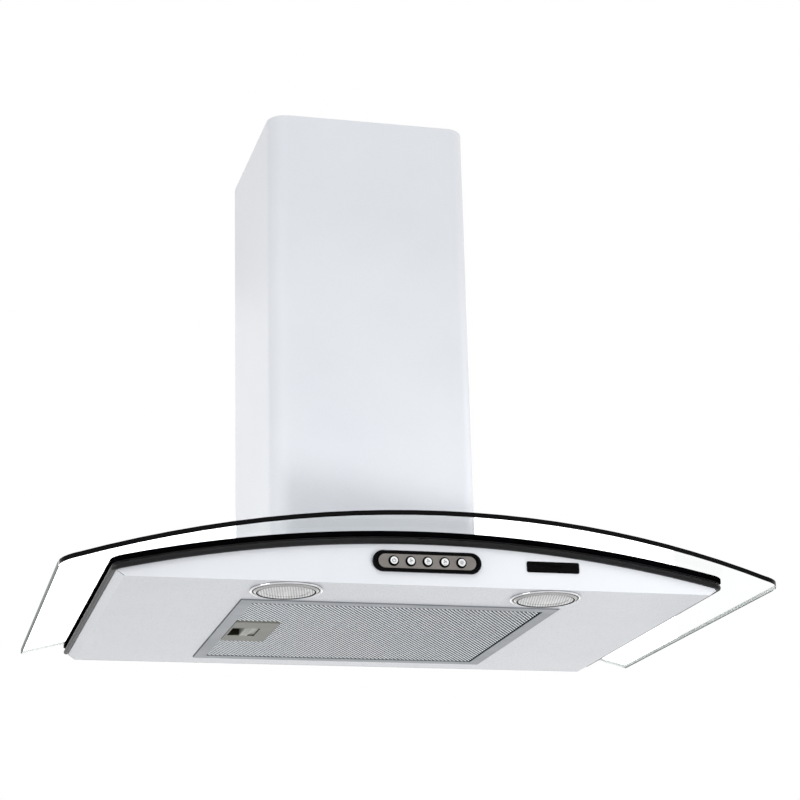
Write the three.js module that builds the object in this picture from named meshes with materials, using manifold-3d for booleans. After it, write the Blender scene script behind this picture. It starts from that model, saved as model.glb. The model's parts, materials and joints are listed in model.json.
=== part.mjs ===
// Wall-hung range hood with a curved glass canopy, a shallow painted body and a chimney.
// Millimetres, +Z up, X to the right seen from the front, +Y into the wall.
// The wall is the plane y = 0. Heights are written from the underside of the body,
// and the finished group is lowered so that the origin lies on the rear panel, level
// with its keyholes.
import * as THREE from "three";
import { mergeVertices } from "three/addons/utils/BufferGeometryUtils.js";
import Module from "manifold-3d";

const wasm = await Module();
wasm.setup();

// ---------------------------------------------------------------- driving dimensions

const CLEARANCE = 0.3; // between pieces that rest on or in one another
const SHEET = 1; // painted steel sheet

const BODY_WIDTH = 494; // across the bottom panel
const BODY_DEPTH = 345;
const STRIP_OUT = 6.5; // the slanted side strip runs out by this much
const STRIP_RISE = 4.5; // while it rises by this much
const BODY_CORNER = 4; // upright front corners, in plan

const CROWN_HEIGHT = 44.5; // underside of the glass at the middle
const ARCH_RADIUS = 1120; // of the underside of the glass
const ARCH_STEP = 24; // width of one facet of the arch

const GLASS_WIDTH = 600;
const GLASS_TAPER = 3; // each side runs in by this much towards the wall
const GLASS_THICKNESS = 4;
const GLASS_OVERHANG = 24; // front corners ahead of the front panel
const GLASS_BOW = 31; // middle of the front edge ahead of the corners
const GLASS_CORNER = 14;
const GLASS_WALL_GAP = 1.3;

const TRIM_HEIGHT = 10.5;
const TRIM_PROUD = 4.5; // ahead of the body
const TRIM_SLOT_DEPTH = 5.2; // takes the top edge of the body sheet
const TRIM_LEG = 1.7; // inner leg of the trim
const TRIM_LEG_SHORT = 1.5; // the inner leg ends this much higher than the outer one
const TRIM_BEAD_PROUD = 4.2; // round lower lip
const TRIM_BEAD_HEIGHT = 5.4;
const TRIM_GROOVE = 1; // between the lip and the flange
const TRIM_GROOVE_FLOOR = 2.9; // ahead of the body

const CHIMNEY_WIDTH = 190;
const CHIMNEY_DEPTH = 184;
const CHIMNEY_TOP = 487;
const CHIMNEY_CORNER = 18;
const CHIMNEY_RETURN = 14; // rear flanges
const INNER_CHIMNEY_PLAY = 0.8; // sliding gap to the outer chimney
const INNER_CHIMNEY_LOW = 92;
const INNER_CHIMNEY_TOP = 480;

const BRACKET_HEIGHT = 22; // wall bracket of the inner chimney section
const BRACKET_DROP = 3; // below the top of the inner section
const BRACKET_SHEET = 1.5;
const BRACKET_STEP = 10;
const BRACKET_EAR = 26;
const BRACKET_PLAY = 2; // between its plate and the rear flanges

const MOUNT_HEIGHT = 24; // keyholes above the underside
const KEYHOLE_SPACING = 200;
const KEYHOLE_HEAD = 10; // diameter that passes the screw head
const KEYHOLE_NECK = 5;
const KEYHOLE_RISE = 9;

const FILTER_WIDTH = 276;
const FILTER_DEPTH = 247;
const FILTER_SHIFT = -2.5; // the opening sits a little to the left
const FILTER_FROM_FRONT = 70;
const FILTER_THICKNESS = 9;
const FILTER_PROUD = 1; // below the bottom panel
const FILTER_GAP = 1; // round three sides
const FILTER_HINGE_GAP = 1.6; // along the side that hooks on the panel
const FILTER_RAIL = 10.5;
const FILTER_WALL = 1;
const OPENING_LIP = 8;
const HOOK_WIDTH = 20;
const HOOK_LENGTH = 8;
const HOOK_SPACING = 150;
const HOOK_SHEET = 1.5;
const MESH_PITCH_X = 20; // one diamond of the expanded metal, drawn larger than life
const MESH_PITCH_Y = 38;
const MESH_STRAND = 1.8;

const LATCH_LENGTH = 78; // along Y
const LATCH_WIDTH = 39;
const LATCH_FROM_FRONT = 155;
const LATCH_POCKET_LENGTH = 32;
const LATCH_POCKET_START = 2;
const LATCH_BUTTON_START = 13;
const LATCH_BUTTON_WIDTH = 7;
const LATCH_TRAVEL = 6;
const LATCH_PROUD = 0.4; // below the filter frame
const LATCH_CORNER = 1.5;
const LATCH_SKIN = 1.2;
const LATCH_APRON = 1.2; // thickness of the flange that keeps the slide in
const LATCH_APRON_EDGE = 1.5; // the flange is wider than the pocket by this much
const LATCH_TONGUE = 12;
const LATCH_TONGUE_RISE = 4; // above the underside of the frame
const LATCH_TONGUE_SHEET = 1.6;
const LATCH_RIBS = 3;
const LATCH_RIB_WIDTH = 0.8;
const LATCH_RIB_PITCH = 2;
const LATCH_RIB_PROUD = 0.5;
const LATCH_RIB_INSET = 2; // from the ends of the pocket

const LAMP_SPACING = 222;
const LAMP_FROM_FRONT = 31;
const LAMP_BEZEL = 60; // diameter
const LAMP_HOLE = 54;
const LAMP_HEIGHT = 27;
const LAMP_SLEEVE_DEPTH = 7; // the bezel's sleeve reaches this far into the body
const LAMP_SLEEVE_PLAY = 0.4;
const LAMP_SLEEVE_WALL = 1.2;
const LENS_LEDGE = 2; // the bezel holds the lens by a ledge this wide
const LENS_LEDGE_DROP = 1.2; // below the underside of the body
const LENS_RING_WIDTH = 2.2; // raised inner ring of the bezel
const LENS_RING_PROUD = 3.6;
const BEZEL_EDGE = 0.8; // rolled outer edge of the bezel
const BEZEL_PROUD = 2.2;
const LENS_RIM_PROUD = 2.6;
const LENS_CROWN = 0.9; // further out at the middle of the lens
const LENS_BACK = 0.8;
const CUP_SHEET = 1;
const CUP_PLAY = 0.6;
const CUP_SHOULDER = 9; // height and width of the cup's sloping shoulder
const BULB_BASE_RADIUS = 9;
const BULB_BASE_HEIGHT = 7;
const BULB_RADIUS = 5.5;
const BULB_LENGTH = 12.5;

const CONTROL_LENGTH = 92;
const CONTROL_HEIGHT = 17.7;
const CONTROL_LEVEL = 19.3;
const CONTROL_PROUD = 3.2;
const CONTROL_NECK = 3.6; // the part behind the panel is this much smaller all round
const CONTROL_EDGE = 0.7; // stepped front edge of the bezel
const CONTROL_HOLE_PLAY = 0.5;
const OVAL_STEPS = 4; // facets in a quarter of its round ends
const BUTTON_COUNT = 5;
const BUTTON_SPACING = 14.3;
const BUTTON_DIAMETER = 7;
const BUTTON_TRAVEL = 2;
const BUTTON_PROUD = 4.4; // ahead of the front panel
const BUTTON_LENGTH = 4.6;
const BUTTON_CHAMFER = 0.6;
const STEM_DIAMETER = 4;
const STEM_LENGTH = 10.5;
const INSERT_LENGTH = 82.6;
const INSERT_HEIGHT = 11.6;
const INSERT_THICKNESS = 1.2;
const INSERT_PROUD = 2.4;
const SWITCH_LENGTH = 76;
const SWITCH_HEIGHT = 14;
const SWITCH_DEPTH = 19;

const GLASS_SCREW_SPACING = 410;
const GLASS_SCREW_ROWS = [70, 300]; // behind the front panel
const GLASS_SCREW_HEAD = 13;
const GLASS_SCREW_SHANK = 5;
const GLASS_SCREW_DOME = 2.3; // rise of the domed head above its rim
const GLASS_SCREW_RIM = 1;
const GLASS_SCREW_REACH = 10; // below the top of the glass
const GLASS_HOLE = 12;
const GROMMET_FLANGE = 18;
const GROMMET_LIP = 1.5; // flange above the glass
const GROMMET_CHAMFER = 0.5;

const BOX_WIDTH = 160; // blower box
const BOX_TOP = 233;
const BOX_FRONT = 172; // from the wall
const BOX_WALL_GAP = 3;
const BOX_FLANGE = 7;
const NOTCH_MARGIN = 4; // glass notch round the box flange
const DECK_MARGIN = 4; // deck opening inside the box walls
const DECK_PLAY = 0.4; // between the deck and the inner leg of the trim
const AIR_WAY_CORNER = 6;
const GUIDE_WIDTH = 40; // angle guides on the box sides that centre the chimney
const GUIDE_LOW = 60;
const GUIDE_HEIGHT = 18;

const SCROLL_WIDTH = 94;
const SCROLL_WALL = 2;
const SCROLL_AXIS_Y = -96;
const SCROLL_AXIS_Z = 133;
const SCROLL_START = 57; // radius at the tongue
const SCROLL_END = 84; // radius where the throat leaves
const TONGUE_ANGLE = 65; // degrees above the rearward axis
const THROAT_FRONT = -12; // throat mouth, from the axis
const THROAT_REAR = 56;
const SCROLL_RIM = 2.5;
const INLET_RADIUS = 45;
const INLET_FLARE = 2; // the inlet narrows by this much through the wall

const IMPELLER_RADIUS = 52;
const IMPELLER_WIDTH = 84;
const BLADE_COUNT = 24;
const BLADE_DEPTH = 10; // radial
const BLADE_THICKNESS = 1;
const BLADE_LEAN = 24; // degrees of forward curve
const BLADE_HOOK = 0.4; // share of the depth over which a blade leans back first
const BLADE_INSET = 0.3; // from the rim of the rings
const WHEEL_RING = 1.5; // thickness of the end rings
const WHEEL_DISC = 2; // thickness of the middle disc
const HUB_RADIUS = 9;
const HUB_LEFT = 7; // the hub's length on the motor's side
const HUB_RIGHT = 10;
const SHAFT_RADIUS = 4;
const SHAFT_END = 3; // beyond the hub
const SHAFT_SEAT = 20; // length inside the motor

const MOTOR_RADIUS = 30;
const MOTOR_CHAMFER = 4;
const MOTOR_BOSS = 11; // radius of the bearing boss
const MOTOR_NOSE = 10; // gap from the impeller's middle disc to the motor
const MOUNT_ARM = 12;
const MOUNT_ARMS = 3;
const MOUNT_ARM_REACH = 8; // onto the scroll, past the inlet
const MOUNT_SHEET = 1.5;

const COLLAR_RADIUS = 60; // outside of the duct spigot
const COLLAR_WALL = 2;
const COLLAR_HEIGHT = 57;
const COLLAR_FLANGE = 66;
const COLLAR_FLANGE_THICKNESS = 1.5;
const COLLAR_HOLE_PLAY = 3; // the hole in the box is this much smaller in radius
const STOP_WIDTH = 10; // stops inside the collar, under the flaps
const STOP_LENGTH = 3;
const STOP_HEIGHT = 3;
const DAMPER_LEVEL = 22; // pin above the blower box
const DAMPER_PIN = 2; // radius
const FLAP_THICKNESS = 1.2;
const FLAP_GAP = 1.2;
const KNUCKLE_RADIUS = 4;
const KNUCKLE_WIDTH = 12;
const KNUCKLE_PLACES = { front: [-34, 34], rear: [-14, 14] };
const FLAP_EDGE = 4.6; // straight edge of a flap, from the pin

const TERMINAL_WIDTH = 58; // connection box on top of the blower box
const TERMINAL_DEPTH = 25;
const TERMINAL_HEIGHT = 24;
const TERMINAL_INSET = 6; // from the left side of the blower box
const TERMINAL_FRONT_INSET = 3;
const TERMINAL_CORNER = 3;
const GLAND_RADIUS = 7;
const GLAND_BORE = 3.2;
const GLAND_HEIGHT = 11;
const GLAND_NUT = 5; // height of its straight part
const CAPACITOR_RADIUS = 11;
const CAPACITOR_LENGTH = 42;
const CAPACITOR_LEFT = 8;
const CAPACITOR_EDGE = 1;

// ---------------------------------------------------------------- materials

const material = (color, roughness, metalness, extra = {}) =>
  new THREE.MeshStandardMaterial({ color, roughness, metalness, ...extra });

const WHITE_PAINT = material(0xe9ebf0, 0.35, 0.1);
const GLASS = material(0xdfeeea, 0.03, 0, { transparent: true, opacity: 0.3 });
const BLACK_RUBBER = material(0x17181a, 0.55, 0);
const BLACK_PLASTIC = material(0x101113, 0.25, 0);
const GREY_PLASTIC = material(0xa9a89c, 0.5, 0);
const PANEL_GREY = material(0x8a8580, 0.35, 0.6);
const BUTTON_SILVER = material(0xd6d7d8, 0.3, 0.6);
const ALUMINIUM = material(0xb6b9bc, 0.35, 0.9);
const CHROME = material(0xd9dadb, 0.1, 1);
const LENS_GLASS = material(0xf2f2ee, 0.15, 0, { transparent: true, opacity: 0.6 });
const ZINC_STEEL = material(0x9da1a4, 0.4, 0.9);
const DARK_PLASTIC = material(0x2b2c2e, 0.5, 0);
const MOTOR_STEEL = material(0x6e7276, 0.4, 0.9);

// ---------------------------------------------------------------- solids from geometry

// A closed geometry as a solid that can be joined and cut.
function solid(geometry) {
  const bare = new THREE.BufferGeometry();
  bare.setAttribute("position", geometry.getAttribute("position"));
  bare.setIndex(geometry.index);
  const merged = mergeVertices(bare, 1e-4);
  return new wasm.Manifold(
    new wasm.Mesh({
      numProp: 3,
      vertProperties: new Float32Array(merged.getAttribute("position").array),
      triVerts: new Uint32Array(merged.index.array),
    }),
  );
}

const join = (...bodies) => bodies.reduce((whole, piece) => whole.add(piece));
const cut = (body, ...tools) => tools.reduce((left, tool) => left.subtract(tool), body);

const hood = new THREE.Group();

// Adds a finished solid as a named, flat-shaded mesh.
function part(name, body, look, parent = hood) {
  const { vertProperties, triVerts } = body.getMesh();
  const indexed = new THREE.BufferGeometry();
  indexed.setAttribute("position", new THREE.BufferAttribute(vertProperties, 3));
  indexed.setIndex(new THREE.BufferAttribute(triVerts, 1));
  const geometry = indexed.toNonIndexed();
  geometry.computeVertexNormals();
  const mesh = new THREE.Mesh(geometry, look);
  mesh.name = name;
  parent.add(mesh);
  return mesh;
}

// ---------------------------------------------------------------- outlines

const degrees = THREE.MathUtils.degToRad;

function outline(points) {
  return new THREE.Shape(points.map(([u, v]) => new THREE.Vector2(u, v)));
}

function disc(u, v, radius) {
  return new THREE.Shape().absarc(u, v, radius, 0, 2 * Math.PI, false);
}

function roundedRectangle(lowU, lowV, highU, highV, radius) {
  const quarter = Math.PI / 2;
  const shape = new THREE.Shape();
  shape.absarc(highU - radius, lowV + radius, radius, -quarter, 0, false);
  shape.absarc(highU - radius, highV - radius, radius, 0, quarter, false);
  shape.absarc(lowU + radius, highV - radius, radius, quarter, 2 * quarter, false);
  shape.absarc(lowU + radius, lowV + radius, radius, 2 * quarter, 3 * quarter, false);
  return shape;
}

// A slot outline with two half-round ends, centred on (u, v).
function stadium(u, v, length, height) {
  const half = height / 2;
  return roundedRectangle(u - length / 2, v - half, u + length / 2, v + half, half - 0.001);
}

// Points of an arc about a centre, both ends included.
function arc(centreU, centreV, radius, fromDegrees, toDegrees, steps) {
  return Array.from({ length: steps + 1 }, (_, i) => {
    const angle = degrees(fromDegrees + ((toDegrees - fromDegrees) * i) / steps);
    return [centreU + radius * Math.cos(angle), centreV + radius * Math.sin(angle)];
  });
}

// Quarter-oval profile points from the edge of a domed top to its middle.
function dome(radius, low, rise, steps) {
  return Array.from({ length: steps + 1 }, (_, i) => {
    const angle = (Math.PI / 2) * (i / steps);
    return [i < steps ? radius * Math.cos(angle) : 0, low + rise * Math.sin(angle)];
  });
}

// The outline of a folded sheet: a run of points, and the same run set back to its left
// by the sheet's thickness, with mitred folds.
function foldedSheet(points, thickness) {
  const leftOf = (a, b) => {
    const length = Math.hypot(b[0] - a[0], b[1] - a[1]);
    return [-(b[1] - a[1]) / length, (b[0] - a[0]) / length];
  };
  const back = points.map((point, i) => {
    const before = i > 0 ? leftOf(points[i - 1], point) : leftOf(point, points[i + 1]);
    const after = i < points.length - 1 ? leftOf(point, points[i + 1]) : before;
    const share = 1 + before[0] * after[0] + before[1] * after[1];
    return [
      point[0] + (thickness * (before[0] + after[0])) / share,
      point[1] + (thickness * (before[1] + after[1])) / share,
    ];
  });
  return outline([...points, ...back.reverse()]);
}

// ---------------------------------------------------------------- extrusions and revolves

const X_AXIS = new THREE.Vector3(1, 0, 0);
const Y_AXIS = new THREE.Vector3(0, 1, 0);
const Z_AXIS = new THREE.Vector3(0, 0, 1);
const BACKWARD = new THREE.Vector3(0, -1, 0);
const XZ_PLANE = new THREE.Matrix4().makeBasis(X_AXIS, Z_AXIS, BACKWARD);
const YZ_PLANE = new THREE.Matrix4().makeBasis(Y_AXIS, Z_AXIS, X_AXIS);

function extrude(shape, depth, curveSegments) {
  return new THREE.ExtrudeGeometry(shape, { depth, curveSegments, bevelEnabled: false });
}

// A plan outline (x, y) between two heights.
function prismZ(shape, low, high, curveSegments = 6) {
  return solid(extrude(shape, high - low, curveSegments).translate(0, 0, low));
}

// A front outline (x, z) between two depths.
function prismY(shape, front, rear, curveSegments = 6) {
  const geometry = extrude(shape, rear - front, curveSegments).applyMatrix4(XZ_PLANE);
  return solid(geometry.translate(0, rear, 0));
}

// A side outline (y, z) between two widths.
function prismX(shape, left, right, curveSegments = 6) {
  const geometry = extrude(shape, right - left, curveSegments).applyMatrix4(YZ_PLANE);
  return solid(geometry.translate(left, 0, 0));
}

function block(lowX, highX, lowY, highY, lowZ, highZ) {
  const geometry = new THREE.BoxGeometry(highX - lowX, highY - lowY, highZ - lowZ);
  return solid(
    geometry.translate((lowX + highX) / 2, (lowY + highY) / 2, (lowZ + highZ) / 2),
  );
}

// A closed profile of [radius, height] points turned about the Z axis.
function revolvedGeometry(profile, segments) {
  const points = profile.map(([radius, height]) => new THREE.Vector2(radius, height));
  if (THREE.ShapeUtils.area(points) < 0) points.reverse();
  points.push(points[0].clone());
  return new THREE.LatheGeometry(points, segments).rotateX(Math.PI / 2);
}

const revolve = (profile, segments) => solid(revolvedGeometry(profile, segments));

// The same, turned about a line along X through (y, z).
function revolveX(profile, y, z, segments = 20) {
  const geometry = revolvedGeometry(profile, segments).rotateY(Math.PI / 2);
  return solid(geometry.translate(0, y, z));
}

// The same, turned about a line along Y through (x, z), heights counted towards the wall.
function revolveY(profile, x, z, segments = 12) {
  const geometry = revolvedGeometry(profile, segments).rotateX(-Math.PI / 2);
  return solid(geometry.translate(x, 0, z));
}

// ---------------------------------------------------------------- the arch

const ARCH_CENTRE = CROWN_HEIGHT - ARCH_RADIUS;
const FRONT = -BODY_DEPTH;
const HALF_TOP = BODY_WIDTH / 2 + STRIP_OUT; // half the body's width above the strips
const REAR_SEAM = -SHEET - CLEARANCE; // what meets the rear panel ends here

const underGlass = (x) => ARCH_CENTRE + Math.sqrt(ARCH_RADIUS ** 2 - x ** 2);
const overGlass = (x) =>
  ARCH_CENTRE + Math.sqrt((ARCH_RADIUS + GLASS_THICKNESS) ** 2 - x ** 2);

// Stations across the arch; the inner ones are shared by every piece that follows it.
function archStations(halfWidth) {
  const count = Math.ceil(halfWidth / ARCH_STEP) - 1;
  const inner = Array.from({ length: 2 * count + 1 }, (_, i) => (i - count) * ARCH_STEP);
  return [-halfWidth, ...inner, halfWidth];
}

// A band that follows the underside of the glass, between two heights counted from it.
function archBand(halfWidth, low, high, front, rear) {
  const stations = archStations(halfWidth);
  const lower = stations.map((x) => [x, underGlass(x) + low]);
  const upper = stations.map((x) => [x, underGlass(x) + high]).reverse();
  return prismY(outline([...lower, ...upper]), front, rear);
}

// Everything below a line that many millimetres above the glass.
function belowGlassTop(halfWidth, above, front, rear) {
  const upper = archStations(halfWidth).map((x) => [x, overGlass(x) + above]);
  const floor = -CROWN_HEIGHT;
  const shape = outline([[-halfWidth, floor], [halfWidth, floor], ...upper.reverse()]);
  return prismY(shape, front, rear);
}

// ---------------------------------------------------------------- glass canopy

const BOX_HALF = BOX_WIDTH / 2;
const NOTCH_HALF = BOX_HALF + BOX_FLANGE + NOTCH_MARGIN;
const NOTCH_FRONT = -(BOX_FRONT + BOX_FLANGE + NOTCH_MARGIN / 2);
const REACH = 2 * BODY_DEPTH; // longer than any cut through the body

function glassPlan() {
  const half = GLASS_WIDTH / 2;
  const cornerY = FRONT - GLASS_OVERHANG;
  const rear = -GLASS_WALL_GAP;
  const bowRadius = (half ** 2 + GLASS_BOW ** 2) / (2 * GLASS_BOW);
  const bowCentre = cornerY - GLASS_BOW + bowRadius;
  const cornerX = half - GLASS_CORNER;
  const startAngle = Math.atan2(
    -Math.sqrt(bowRadius ** 2 - cornerX ** 2),
    -cornerX,
  );
  const shape = new THREE.Shape();
  shape.moveTo(-NOTCH_HALF, rear);
  shape.lineTo(-half + GLASS_TAPER, rear);
  shape.lineTo(-half, cornerY + GLASS_CORNER);
  const startY = bowCentre + bowRadius * Math.sin(startAngle);
  shape.quadraticCurveTo(-half, startY, -cornerX, startY);
  shape.absarc(0, bowCentre, bowRadius, startAngle, -Math.PI - startAngle, false);
  shape.quadraticCurveTo(half, startY, half, cornerY + GLASS_CORNER);
  shape.lineTo(half - GLASS_TAPER, rear);
  shape.lineTo(NOTCH_HALF, rear);
  shape.lineTo(NOTCH_HALF, NOTCH_FRONT);
  shape.lineTo(-NOTCH_HALF, NOTCH_FRONT);
  return shape;
}

function glassSlab() {
  const stations = archStations(GLASS_WIDTH / 2 + ARCH_STEP);
  const grown = (ARCH_RADIUS + GLASS_THICKNESS) / ARCH_RADIUS;
  const lower = stations.map((x) => [x, underGlass(x)]);
  const upper = stations.map((x) => [x * grown, overGlass(x * grown)]);
  return prismY(outline([...lower, ...upper.reverse()]), -REACH, 0);
}

const screwPlaces = GLASS_SCREW_ROWS.flatMap((behindFront) =>
  [-1, 1].map((side) => [(side * GLASS_SCREW_SPACING) / 2, FRONT + behindFront]),
);

// A group that stands square on the glass at (x, y), its origin on the top surface.
function standOnGlass(x, y) {
  const group = new THREE.Group();
  group.position.set(x, y, overGlass(x));
  group.rotation.y = Math.asin(x / (ARCH_RADIUS + GLASS_THICKNESS));
  hood.add(group);
  return group;
}

// A drill square to the glass at (x, y).
function drillThroughGlass(x, y, diameter, segments = 12) {
  const reach = 4 * GLASS_THICKNESS;
  const radius = diameter / 2;
  const geometry = new THREE.CylinderGeometry(radius, radius, 2 * reach, segments)
    .rotateX(Math.PI / 2)
    .rotateY(Math.asin(x / (ARCH_RADIUS + GLASS_THICKNESS)))
    .translate(x, y, overGlass(x));
  return solid(geometry);
}

part(
  "glass_canopy",
  cut(
    glassSlab().intersect(prismZ(glassPlan(), -REACH, REACH, 16)),
    ...screwPlaces.map(([x, y]) => drillThroughGlass(x, y, GLASS_HOLE)),
  ),
  GLASS,
);

// ---------------------------------------------------------------- glass fixings

const headRadius = GLASS_SCREW_HEAD / 2;
const shankRadius = GLASS_SCREW_SHANK / 2;
const sleeveRadius = GLASS_HOLE / 2 - CLEARANCE;
const flangeRadius = GROMMET_FLANGE / 2;

screwPlaces.forEach(([x, y], i) => {
  const place = standOnGlass(x, y);
  const bore = shankRadius + CLEARANCE;
  const grommet = [
    [bore, -GLASS_THICKNESS],
    [sleeveRadius, -GLASS_THICKNESS],
    [sleeveRadius, CLEARANCE],
    [flangeRadius, CLEARANCE],
    [flangeRadius, GROMMET_LIP - GROMMET_CHAMFER],
    [flangeRadius - GROMMET_CHAMFER, GROMMET_LIP],
    [bore, GROMMET_LIP],
  ];
  part("glass_grommet_" + (i + 1), revolve(grommet, 10), BLACK_RUBBER, place);
  const base = GROMMET_LIP + CLEARANCE;
  const screw = [
    [0, -GLASS_SCREW_REACH],
    [shankRadius, -GLASS_SCREW_REACH],
    [shankRadius, base],
    [headRadius, base],
    ...dome(headRadius, base + GLASS_SCREW_RIM, GLASS_SCREW_DOME, 3),
  ];
  part("glass_screw_" + (i + 1), revolve(screw, 10), CHROME, place);
});

// ---------------------------------------------------------------- trim under the glass

// Section of the trim: u runs outward from the body's face, v up from the glass.
const slotInner = -SHEET - CLEARANCE;
const beadRadius = TRIM_BEAD_HEIGHT / 2;
const beadCentre = -TRIM_HEIGHT + beadRadius;
const beadTop = -TRIM_HEIGHT + TRIM_BEAD_HEIGHT;
const trimSection = [
  [slotInner - TRIM_LEG, -CLEARANCE],
  [slotInner - TRIM_LEG, -TRIM_HEIGHT + TRIM_LEG_SHORT],
  [slotInner, -TRIM_HEIGHT + TRIM_LEG_SHORT],
  [slotInner, -TRIM_SLOT_DEPTH],
  [CLEARANCE, -TRIM_SLOT_DEPTH],
  [CLEARANCE, -TRIM_HEIGHT],
  ...arc(TRIM_BEAD_PROUD - beadRadius, beadCentre, beadRadius, -90, 45, 3),
  [TRIM_GROOVE_FLOOR, beadTop],
  [TRIM_PROUD, beadTop + TRIM_GROOVE],
  [TRIM_PROUD, -CLEARANCE],
];

// Stations along the body's face in plan, with the outward direction at each.
function trimPath() {
  const cornerX = HALF_TOP - BODY_CORNER;
  const cornerY = FRONT + BODY_CORNER;
  const cornerSteps = 4;
  const corner = (side, from, to) =>
    arc(0, 0, BODY_CORNER, from, to, cornerSteps).map(([u, v]) => ({
      x: side * cornerX + u,
      y: cornerY + v,
      out: [u / BODY_CORNER, v / BODY_CORNER],
    }));
  const across = archStations(cornerX).slice(1, -1);
  return [
    { x: -HALF_TOP, y: REAR_SEAM, out: [-1, 0] },
    ...corner(-1, 180, 270),
    ...across.map((x) => ({ x, y: FRONT, out: [0, -1] })),
    ...corner(1, 270, 360),
    { x: HALF_TOP, y: REAR_SEAM, out: [1, 0] },
  ];
}

// A section swept along stations, its heights following the arch, with flat ends.
function sweepUnderArch(path, section) {
  const count = section.length;
  const positions = path.flatMap(({ x, y, out }) =>
    section.flatMap(([u, v]) => {
      const placeX = x + u * out[0];
      return [placeX, y + u * out[1], underGlass(placeX) + v];
    }),
  );
  const triangles = [];
  for (let i = 0; i < path.length - 1; i++) {
    for (let j = 0; j < count; j++) {
      const next = (j + 1) % count;
      const near = [i * count + j, i * count + next];
      const far = [near[0] + count, near[1] + count];
      triangles.push(near[0], far[1], near[1], near[0], far[0], far[1]);
    }
  }
  const flat = section.map(([u, v]) => new THREE.Vector2(u, v));
  const last = (path.length - 1) * count;
  for (const [a, b, c] of THREE.ShapeUtils.triangulateShape(flat, [])) {
    triangles.push(a, b, c, last + a, last + c, last + b);
  }
  const geometry = new THREE.BufferGeometry();
  const attribute = new THREE.Float32BufferAttribute(positions, 3);
  geometry.setAttribute("position", attribute);
  geometry.setIndex(triangles);
  return solid(geometry);
}

part("glass_trim", sweepUnderArch(trimPath(), trimSection), BLACK_RUBBER);

// ---------------------------------------------------------------- body shell

const halfBottom = BODY_WIDTH / 2;
const sheetTop = -TRIM_SLOT_DEPTH - CLEARANCE; // body sheet's edge, counted from the glass
const filterCentre = FILTER_SHIFT;
const filterLeft = filterCentre - FILTER_WIDTH / 2;
const filterRight = filterCentre + FILTER_WIDTH / 2;
const filterFront = FRONT + FILTER_FROM_FRONT;
const filterRear = filterFront + FILTER_DEPTH;
const openingRight = filterRight + FILTER_HINGE_GAP;

// Front outline of the body, open at the top, with the arch as its upper edge.
function bodySection(topOffset) {
  const top = archStations(HALF_TOP).map((x) => [x, underGlass(x) + topOffset]);
  return outline([
    [-HALF_TOP, STRIP_RISE],
    [-halfBottom, 0],
    [halfBottom, 0],
    [HALF_TOP, STRIP_RISE],
    ...top.reverse(),
  ]);
}

function bodyFold() {
  const wallTop = underGlass(HALF_TOP) + sheetTop;
  return foldedSheet(
    [
      [-HALF_TOP, wallTop],
      [-HALF_TOP, STRIP_RISE],
      [-halfBottom, 0],
      [halfBottom, 0],
      [HALF_TOP, STRIP_RISE],
      [HALF_TOP, wallTop],
    ],
    SHEET,
  );
}

// Upturned lips round three sides of the filter opening.
function openingLips() {
  const left = filterLeft - FILTER_GAP;
  const front = filterFront - FILTER_GAP;
  const rear = filterRear + FILTER_GAP;
  const top = SHEET + OPENING_LIP;
  const low = SHEET / 2;
  return join(
    block(left - SHEET, left, front - SHEET, rear + SHEET, low, top),
    block(left - SHEET, filterRight, front - SHEET, front, low, top),
    block(left - SHEET, filterRight, rear, rear + SHEET, low, top),
  );
}

const filterOpening = block(
  filterLeft - FILTER_GAP,
  openingRight,
  filterFront - FILTER_GAP,
  filterRear + FILTER_GAP,
  -SHEET,
  2 * SHEET,
);
const lampY = FRONT + LAMP_FROM_FRONT;
const lampSides = { left: -LAMP_SPACING / 2, right: LAMP_SPACING / 2 };
const lampHoles = Object.values(lampSides).map((x) =>
  prismZ(disc(x, lampY, LAMP_HOLE / 2), -SHEET, 2 * SHEET, 14),
);
const neckLength = CONTROL_LENGTH - 2 * CONTROL_NECK;
const neckHeight = CONTROL_HEIGHT - 2 * CONTROL_NECK;
const controlHole = prismY(
  stadium(
    0,
    CONTROL_LEVEL,
    neckLength + 2 * CONTROL_HOLE_PLAY,
    neckHeight + 2 * CONTROL_HOLE_PLAY,
  ),
  FRONT - SHEET,
  FRONT + 2 * SHEET,
  4,
);
const roundedCorners = prismZ(
  roundedRectangle(-HALF_TOP, FRONT, HALF_TOP, REACH, BODY_CORNER),
  -REACH,
  REACH,
  6,
);

part(
  "body_shell",
  cut(
    join(
      prismY(bodyFold(), FRONT, REAR_SEAM),
      prismY(bodySection(sheetTop), FRONT, FRONT + SHEET),
    ).intersect(roundedCorners),
    filterOpening,
    ...lampHoles,
    controlHole,
  ).add(openingLips()),
  WHITE_PAINT,
);

// ---------------------------------------------------------------- rear panel and deck

const deckTop = -2 * CLEARANCE; // under the glass

function keyhole(x) {
  const head = KEYHOLE_HEAD / 2;
  const neck = KEYHOLE_NECK / 2;
  const low = MOUNT_HEIGHT - KEYHOLE_RISE / 2;
  const slot = [x - neck, low, x + neck, low + KEYHOLE_RISE, neck - 0.001];
  return join(
    prismY(disc(x, low, head), -2 * SHEET, SHEET),
    prismY(roundedRectangle(...slot), -2 * SHEET, SHEET),
  );
}

part(
  "rear_panel",
  cut(
    prismY(bodySection(deckTop), -SHEET, 0),
    keyhole(-KEYHOLE_SPACING / 2),
    keyhole(KEYHOLE_SPACING / 2),
  ),
  ZINC_STEEL,
);

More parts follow.
